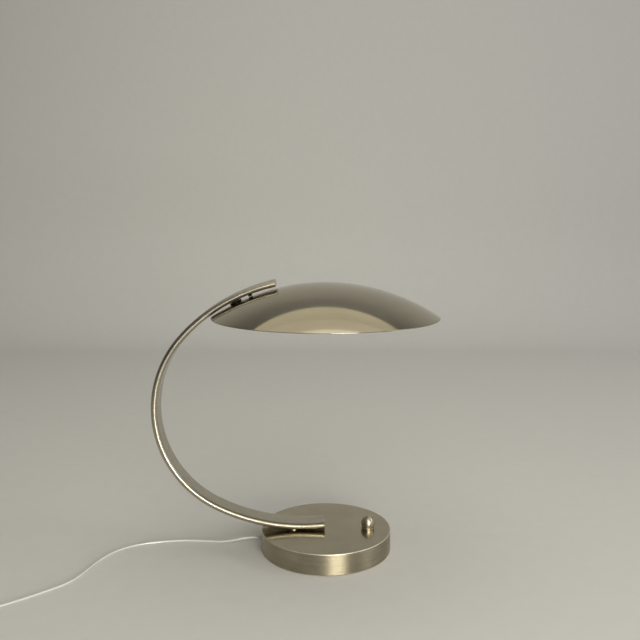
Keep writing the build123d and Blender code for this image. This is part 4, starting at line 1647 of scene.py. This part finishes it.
@dataclass
class ShadeWiring:
    """Cable from the joint to a small connector block, and the leads to the lampholders."""

    cable_radius: float = 0.0015
    lead_radius: float = 0.0009
    block_x: float = 0.058
    block_size: tuple[float, float, float] = (0.018, 0.009, 0.008)
    inner_gap: float = 0.0006
    block_edge: float = 0.0006
    ball_depth: float = 0.005
    out_depth: float = 0.019
    entry_angles: tuple[int, int] = (150, 185)

    def build(self, shop: Workshop, shade: Shade) -> None:
        """Make the wiring.

        Args:
            shop: The shared finishes.
            shade: The shade that it is in.
        """
        long, wide, high = self.block_size
        inner = shade.radius - shade.thickness
        edge = hypot(self.block_x + long / 2, shade.bracket_half + wide)
        top = shade.centre.z + sqrt(inner**2 - edge**2) - self.inner_gap
        middle = Vector((shade.centre.x - self.block_x, shade.bracket_half + wide / 2, top - high / 2))
        self.build_block(shop, middle)
        ball = shade.joint - shade.normal * self.ball_depth
        out = shade.joint - shade.normal * self.out_depth
        left = middle - Vector((long / 2, 0, 0))
        right = middle + Vector((long / 2, 0, 0))
        route = [ball - shade.normal * 0.0002, out, out + Vector((0.012, 0.003, 0.002))]
        route += [left - Vector((0.013, 0, 0)), left]
        cable = tube("shade_cable_run", spline_points(route), self.cable_radius)
        place_piece(cable, "shade", shop.cable, ["shade_cable"])
        entry = (shade.holder_back_radius + shade.holder_radius) / 2
        leads = []
        for side in (1, -1):
            for order, turn in enumerate(self.entry_angles):
                entry_x = shade.centre.x + entry * cos(radians(turn))
                entry_z = shade.holder_z + entry * sin(radians(turn))
                offset = Vector((0, 0.0023 * side - 0.0003, 0.0022 - 0.0044 * order))
                start = Vector((right.x, middle.y, middle.z)) + offset
                bend_x = right.x + 0.015 - 0.002 * order
                near_x = shade.centre.x - 0.022 - 0.002 * order
                route = [
                    start,
                    start + Vector((0.007, 0, 0)),
                    (bend_x, start.y + 0.0006, shade.holder_z + 0.012 - 0.004 * order),
                    (near_x, 0.005 * side, shade.holder_z + 0.0085 - 0.005 * order),
                    (entry_x, 0.0062 * side, entry_z),
                    (entry_x, side * (shade.bracket_half + shade.holder_back_length), entry_z),
                ]
                leads.append(tube("lead", spline_points(route), self.lead_radius, around=10))
        place_piece(whole("holder_lead_runs", leads), "shade", shop.cable, ["holder_leads"])

    def build_block(self, shop: Workshop, middle: Vector) -> None:
        """Make the connector block.

        Args:
            shop: The shared finishes.
            middle: The block's middle.
        """
        work = bmesh.new()
        bmesh.ops.create_cube(work, size=1.0)
        bmesh.ops.scale(work, vec=self.block_size, verts=work.verts)
        bmesh.ops.translate(work, vec=middle, verts=work.verts)
        bmesh.ops.bevel(
            work, geom=work.edges[:], offset=self.block_edge, segments=3, profile=0.5, affect="EDGES"
        )
        block = shade_smooth(settled(work, "connector_block"))
        place_piece(block, "shade", shop.white_plastic, ["shade_block"])


def edge_rise(edge: bmesh.types.BMEdge) -> float:
    """Difference in height between an edge's ends.

    Args:
        edge: The edge.

    Returns:
        The difference.
    """
    return abs(edge.verts[0].co.z - edge.verts[1].co.z)


@dataclass
class PowerCord:
    """Clear cord with its sleeve, the put-away coil, and the plug."""

    radius: float = 0.0016
    floor: float = 0.00165
    base_radius: float = 0.0965
    exit_angle: float = 175.0
    exit_height: float = 0.0108
    sleeve_reach: float = 0.008
    coil_heading: float = 216.3
    coil_start: tuple[float, float] = (-0.446, -0.203)
    coil_radius: float = 0.0236
    coil_pitch: float = 0.00365
    turn_halves: int = 5
    tail: float = 0.036
    plug_height: float = 0.0137
    boot_length: float = 0.012
    boot_hold: float = 0.006
    plug_length: float = 0.034
    plug_width: float = 0.034
    plug_back: float = 0.014
    pin_radius: float = 0.002
    pin_length: float = 0.019
    pin_spacing: float = 0.019
    pin_seat: float = 0.006
    collar_length: float = 0.01
    neck_radius: float = 0.0039
    sleeve_tip_radius: float = 0.0021
    plug_shoulder: float = 0.35
    plug_corner: float = 0.003
    plug_edge: float = 0.0018
    grip_count: int = 6
    grip_start: float = 0.016
    grip_step: float = 0.0022
    grip_radius: float = 0.0006
    grip_length: float = 0.0085
    grip_sink: float = 0.0004
    length: float = 1.69

    def __post_init__(self) -> None:
        """Work out the directions of the exit and of the coil."""
        turn = radians(self.exit_angle)
        self.exit_way = Vector((cos(turn), sin(turn), 0))
        heading = radians(self.coil_heading)
        self.along = Vector((cos(heading), sin(heading), 0))
        self.across = Vector((self.along.y, -self.along.x, 0))
        self.exit_frame = axis_frame((0, 0, self.exit_height), self.exit_way)
        self.route = self.full_route()

    def coil_points(self, place: Vector) -> list[Vector]:
        """Control points of the coil, sixteen to a turn, and its last place.

        Args:
            place: Where the first half turn starts.

        Returns:
            The points.
        """
        parts = 8
        inward = list(range(1, self.turn_halves))
        goes_in = [(step, 0) for step in inward] + [(self.turn_halves, 1)]
        comes_out = [(step, 0) for step in inward[::-1]]
        halves = [(0, 0), *goes_in, *comes_out, (0, 1), *goes_in, *comes_out]
        ahead, across = self.along.copy(), self.across.copy()
        points = []
        for step, climbs in halves:
            radius = self.coil_radius - step * self.coil_pitch / 2
            finish = place + across * (2 * radius) + UP * (climbs * self.coil_pitch)
            centre = (place + finish) / 2
            reach = (finish - place) / 2 / cos(pi / 2 / parts)
            for part in range(parts):
                turn = (part + 0.5) * pi / parts
                points.append(centre - reach * cos(turn) + ahead * (reach.length * sin(turn)))
            place = finish
            ahead, across = -ahead, -across
        return [*points, place]

    def full_route(self) -> list[Vector]:
        """The whole cord's route: over the table, through the coil and into the plug.

        Returns:
            The control points.
        """
        floor = self.floor
        tip = self.exit_way * (self.base_radius + self.sleeve_reach) + UP * self.exit_height
        route = [tip, tip + self.exit_way * 0.014]
        route += [Vector((-0.138, 0.0095, 0.0063)), Vector((-0.158, 0.0115, 0.0026))]
        table = [
            (-0.182, 0.0165), (-0.210, 0.0188), (-0.238, 0.0159), (-0.263, 0.011), (-0.286, 0.002),
            (-0.305, -0.0115), (-0.320, -0.033), (-0.3305, -0.060), (-0.338, -0.092), (-0.350, -0.121),
            (-0.373, -0.144), (-0.398, -0.167),
        ]
        route += [Vector((x, y, floor)) for x, y in table]
        first = Vector((*self.coil_start, floor))
        route += [first - self.along * 0.026, first]
        coil = self.coil_points(first + self.along * (2 * self.radius))
        last = coil.pop() + self.along * (2 * self.radius)
        self.tail_end = Vector((last.x, last.y, self.plug_height / 2)) + self.along * self.tail
        route += coil
        route += [last, last + self.along * 0.01, self.tail_end - self.along * 0.012]
        route += [self.tail_end + self.along * self.boot_hold]
        return route

    def sleeve_outline(self) -> Outline:
        """Outline of the clear sleeve, its height counted from the base's wall outwards.

        Returns:
            The outline's points.
        """
        bore = self.radius + 0.0001
        seat = -0.0022
        tip = self.sleeve_tip_radius
        flange, flange_edge = 0.0012, 0.0046
        collar_radius, body_radius, inner_end = 0.0053, 0.0042, seat - 0.0145
        notch = 0.0003
        outline = [
            (bore, self.sleeve_reach - 0.004),
            (bore, self.sleeve_reach, 0.0002),
            (tip, self.sleeve_reach, 0.0002),
        ]
        for ring in range(3):
            middle = self.sleeve_reach - 0.0018 - 0.0016 * ring
            here = tip + 0.0012 * (self.sleeve_reach - middle) / 0.0068
            outline += [(here, middle + notch, 0.0001), (here - notch, middle, 0.0002)]
            outline += [(here, middle - notch, 0.0001)]
        outline += [
            (0.0033, flange, 0.0004),
            (flange_edge, flange, 0.0003),
            (flange_edge, 0.0, 0.0002),
            (self.neck_radius, 0.0),
            (self.neck_radius, seat),
            (collar_radius, seat),
            (collar_radius, seat - flange),
            (body_radius, seat - flange),
            (body_radius, inner_end),
            (bore, inner_end),
        ]
        return rounded(outline, steps=3)

    def plug_mesh(self) -> bpy.types.Mesh:
        """Body of the plug with its tapered boot.

        Returns:
            The mesh.
        """
        origin = Vector((self.tail_end.x, self.tail_end.y, 0)) + self.along * self.boot_length
        shoulder, wide = self.plug_shoulder * self.plug_length, self.plug_width / 2
        half = [(0, self.plug_back / 2), (shoulder, wide), (self.plug_length, wide)]
        corners = [(a, -b) for a, b in half] + half[::-1]
        work = bmesh.new()
        side = UP.cross(self.along)
        outline = [origin + self.along * a + side * b for a, b in corners]
        bottom = [work.verts.new(point) for point in outline]
        top = [work.verts.new(point + UP * self.plug_height) for point in outline]
        work.faces.new(bottom)
        work.faces.new(top)
        for place in range(len(outline)):
            work.faces.new((bottom[place - 1], bottom[place], top[place], top[place - 1]))
        bmesh.ops.recalc_face_normals(work, faces=work.faces)
        upright = [edge for edge in work.edges if edge_rise(edge) > 0.001]
        bmesh.ops.bevel(
            work, geom=upright, offset=self.plug_corner, segments=8, profile=0.5, affect="EDGES"
        )
        rim = [edge for edge in work.edges if edge_rise(edge) < 1e-6 and edge.calc_face_angle(0) > 1]
        bmesh.ops.bevel(work, geom=rim, offset=self.plug_edge, segments=5, profile=0.5, affect="EDGES")
        # The rounding leaves its points in no fixed order, so they are sorted along a slanted line.
        slant = Vector((1, 0.62, 0.38))
        work.verts.sort(key=lambda vertex: vertex.co.dot(slant))
        work.faces.sort(key=lambda face: face.calc_center_median().dot(slant))
        body = settled(work, "plug_shell")
        thin, thick, notch, sunk = 0.0022, 0.004, 0.0004, 0.003
        boot = [(0, 0), (0.0019, 0, 0.0003), (thin, notch, 0.0002)]
        for ring in range(4):
            reach = 0.002 + 0.0022 * ring
            here = thin + 0.0018 * reach / self.boot_length
            boot += [(here, reach, 0.0001), (here - notch, reach + notch, 0.0002)]
            boot += [(here, reach + 2 * notch, 0.0001)]
        boot += [(thick, self.boot_length), (thick, self.boot_length + sunk), (0, self.boot_length + sunk)]
        taper = turned("plug_boot", rounded(boot, steps=3), axis_frame(self.tail_end, self.along), around=48)
        return whole("cord_plug", [body, taper])

    def pin_meshes(self) -> list[bpy.types.Mesh]:
        """Collars and tips of the two pins, as one mesh each.

        Returns:
            The two meshes.
        """
        face = self.tail_end + self.along * (self.boot_length + self.plug_length)
        collars, tips = [], []
        low, end, wide = -self.pin_seat, self.collar_length, self.pin_radius
        sheath, core = wide - 0.0001, wide - 0.0003
        for side in (1, -1):
            where = axis_frame(face + self.across * (side * self.pin_spacing / 2), self.along)
            collar = [(0, low), (sheath, low), (sheath, end, 0.0001), (0, end)]
            collars.append(turned("collar", rounded(collar), where, around=32))
            tip = [(0, low), (core, low), (core, end), (wide, end, 0.0001)]
            tip += [(wide, self.pin_length, 0.0012), (0, self.pin_length)]
            tips.append(turned("tip", rounded(tip), where, around=32))
        return [whole("pin_collars", collars), whole("pin_tips", tips)]

    def build(self, shop: Workshop) -> None:
        """Make the cord and what is on it.

        Args:
            shop: The shared finishes.
        """
        line = spline_points(self.route)
        measured = sum((after - before).length for before, after in zip(line, line[1:]))
        log.info("cord: %.3f m along its line", measured)
        run = tube("power_cord_run", line, self.radius)
        cord = place_piece(run, "root", shop.sleeve, ["power_cord", "cord_coil", "cord_tail"])
        frame_at_wall = self.exit_frame @ Matrix.Translation((0, 0, self.base_radius))
        sleeve = turned("cord_sleeve", self.sleeve_outline(), frame_at_wall, around=48)
        place_piece(sleeve, "root", shop.clear_rubber, ["cord_gland"])
        plug = place_piece(self.plug_mesh(), "root", shop.plug, ["plug_body"])
        collars, tips = self.pin_meshes()
        pins = place_piece(tips, "root", shop.pins, ["plug_pins"])
        collar_piece = place_piece(collars, "root", shop.plug)
        side = UP.cross(self.along)
        start = self.tail_end + self.along * (self.boot_length + self.grip_start)
        ridges = RidgeRow()
        grips = [
            ridges.mesh(
                "grip",
                Count=self.grip_count,
                Start=start + side * (hand * (self.plug_width / 2 - self.grip_sink)),
                Step=self.along * self.grip_step,
                Ridge_Radius=self.grip_radius,
                Ridge_Length=self.grip_length,
                Finish=shop.plug,
            )
            for hand in (1, -1)
        ]
        grip_piece = place_piece(whole("plug_grips", grips), "root", shop.plug)


@dataclass
class Studio:
    """Camera, pale floor with its cove, and soft light."""

    lens: float = 42.99
    eye: tuple[float, float, float] = (-0.00873, -1.0971, 0.4919)
    pitch_down: float = 7.632
    floor_shade: float = 0.72
    front_y: float = -6.0
    wall_y: float = 2.2
    wall_height: float = 5.0
    half_width: float = 8.0
    cove_radius: float = 0.5
    glow_way: tuple[float, float, float] = (0.8, 0.6, 0.0)
    glow: tuple[float, float] = (0.07, 0.32)
    mirror_bounces: int = 12

    def camera(self) -> None:
        """Set the camera as the photograph has it."""
        data = bpy.data.cameras.new("front_camera")
        data.sensor_width = 36.0
        data.lens = self.lens
        data.clip_start = 0.01
        data.clip_end = 100.0
        made = in_scene("front_camera", data)
        made.location = self.eye
        made.rotation_euler = (radians(90 - self.pitch_down), 0, 0)
        bpy.context.scene.camera = made

    def backdrop(self) -> None:
        """Pale floor that curves up behind the lamp."""
        steps = 16
        path = [(self.front_y, 0.0), (self.wall_y - self.cove_radius, 0.0)]
        for step in range(1, steps + 1):
            turn = pi / 2 * step / steps
            back = self.wall_y - self.cove_radius * (1 - sin(turn))
            path.append((back, self.cove_radius * (1 - cos(turn))))
        path.append((self.wall_y, self.wall_height))
        work = bmesh.new()
        rows = [[work.verts.new((x, y, z)) for x in (-self.half_width, self.half_width)] for y, z in path]
        for lower, upper in zip(rows, rows[1:]):
            work.faces.new((lower[0], lower[1], upper[1], upper[0]))
        mesh = settled(work, "studio_cove")
        mesh.shade_smooth()
        graph = NodeGraph("matt_paper")
        grain = graph.noise(graph.object_place(), 40, 2.0)
        paper = tint((1.0, 0.99, 0.96), self.floor_shade)
        graph.set(
            Base_Color=graph.blend(graph.spread(grain, 0, 1), paper, tint(paper, 0.98)),
            Roughness=0.8,
            Specular_IOR_Level=0.1,
        )
        mesh.materials.append(graph.material)
        in_scene("studio_cove", mesh)

    def panel(
        self,
        name: str,
        place: Point,
        aim: Point,
        size: tuple[float, float],
        radiance: float,
        colour: Point,
        shape: str = "RECTANGLE",
        beam: float = 180.0,
    ) -> None:
        """Add a soft light.

        Args:
            name: Name of the light.
            place: Its middle.
            aim: Point that it faces.
            size: Width and height.
            radiance: Brightness of its surface.
            colour: Its colour.
            shape: Blender's name of its shape.
            beam: How widely it shines, in degrees.
        """
        data = bpy.data.lights.new(name, "AREA")
        data.shape = shape
        data.size, data.size_y = size
        data.energy = radiance * pi * size[0] * size[1] * (pi / 4 if shape == "ELLIPSE" else 1)
        data.color = colour
        data.spread = radians(beam)
        made = in_scene(name, data)
        made.location = place
        made.rotation_euler = (Vector(aim) - Vector(place)).to_track_quat("-Z", "Y").to_euler()
        made.visible_camera = False

    def light(self) -> None:
        """Set the lights and the room's own glow."""
        white = (1.0, 1.0, 1.0)
        lamp = (0, 0, 0.1)
        self.panel("ceiling_disc", (0, 0, 2.5), (0, 0, 0), (4.1, 3.24), 0.6, (1.0, 0.93, 0.73), "ELLIPSE")
        self.panel("upper_wall_wash", (0.3, 0.7, 3.2), (0.2, 2.2, 2.3), (3.0, 0.8), 0.6, white)
        self.panel("right_wall_wash", (2.6, 0.4, 1.7), (1.0, 2.2, 0.6), (1.3, 1.2), 1.7, white)
        self.panel("front_high_box", (0.2, -2.2, 2.2), lamp, (2.4, 1.2), 1.0, (1.0, 0.99, 0.97))
        self.panel("soft_window", (0.3, -2.1, 0.95), (0, 0, 0.15), (1.3, 1.7), 0.9, (1.0, 0.98, 0.93))
        self.panel("low_window", (0.63, -1.92, 0.32), lamp, (0.95, 0.56), 2.6, (1.0, 0.96, 0.82), beam=70.0)
        self.panel("right_card", (2.0, -0.6, 0.8), lamp, (0.6, 1.4), 2.0, (1.0, 0.99, 0.96))
        world = bpy.data.worlds.new("room_glow")
        world.use_nodes = True
        tree = world.node_tree
        tree.nodes.clear()
        place = tree.nodes.new("ShaderNodeTexCoord")
        rightward = tree.nodes.new("ShaderNodeVectorMath")
        ramp = tree.nodes.new("ShaderNodeMapRange")
        glow = tree.nodes.new("ShaderNodeBackground")
        output = tree.nodes.new("ShaderNodeOutputWorld")
        rightward.operation = "DOT_PRODUCT"
        rightward.inputs[1].default_value = self.glow_way
        ramp.inputs["From Min"].default_value = -1.0
        ramp.inputs["From Max"].default_value = 1.0
        ramp.inputs["To Min"].default_value = self.glow[0]
        ramp.inputs["To Max"].default_value = self.glow[1]
        glow.inputs["Color"].default_value = (0.97, 0.98, 1.0, 1)
        tree.links.new(place.outputs["Generated"], rightward.inputs[0])
        tree.links.new(rightward.outputs["Value"], ramp.inputs["Value"])
        tree.links.new(ramp.outputs[0], glow.inputs["Strength"])
        tree.links.new(glow.outputs[0], output.inputs["Surface"])
        bpy.context.scene.world = world

    def build(self) -> None:
        """Set up the whole studio."""
        self.camera()
        self.backdrop()
        self.light()
        bpy.context.scene.view_settings.view_transform = "Standard"
        bpy.context.scene.view_settings.look = "None"
        bpy.context.scene.cycles.glossy_bounces = self.mirror_bounces


def arm_holes(arm: Arm, base: Base, shade: Shade) -> list[bpy.types.Mesh]:
    """Holes in the arm for its fixing, for the joint's stud and for the rubber stop.

    Args:
        arm: The arm.
        base: The base under it.
        shade: The shade on it.

    Returns:
        Meshes of the holes.
    """
    middle, along = arm.at(shade.joint_reach + arm.stop_offset)
    stop = axis_frame(middle, Vector((-along.z, 0, along.x)))
    stud = axis_frame(shade.joint, shade.normal)
    nipple = Matrix.Translation((base.nipple_x, 0, 0))
    half = arm.thickness / 2
    return [
        bar("nipple_bore", arm.nipple_bore, 0.0, base.height + arm.foot_gap + half, nipple),
        bar("stud_bore", arm.stud_bore, 0.0, shade.joint_gap + half, stud),
        bar("stop_bore", arm.stop_bore, -half - 0.001, 0.0, stop),
    ]


def main() -> None:
    """Build and dress the lamp, and set up the studio."""
    logging.basicConfig(level=logging.INFO, format="%(name)s: %(message)s")
    Studio().build()
    shop = Workshop()
    cord = PowerCord()
    cord.build(shop)
    base = Base()
    base.build(shop, cord.exit_frame, cord.neck_radius + 0.0001)
    Dimmer().build(shop)
    arm = Arm()
    shade = Shade()
    shade.hang(arm)
    arm.build(shop, arm_holes(arm, base, shade))
    shade.build(shop)
    ShadeWiring().build(shop, shade)


if __name__ == "__main__":
    main()
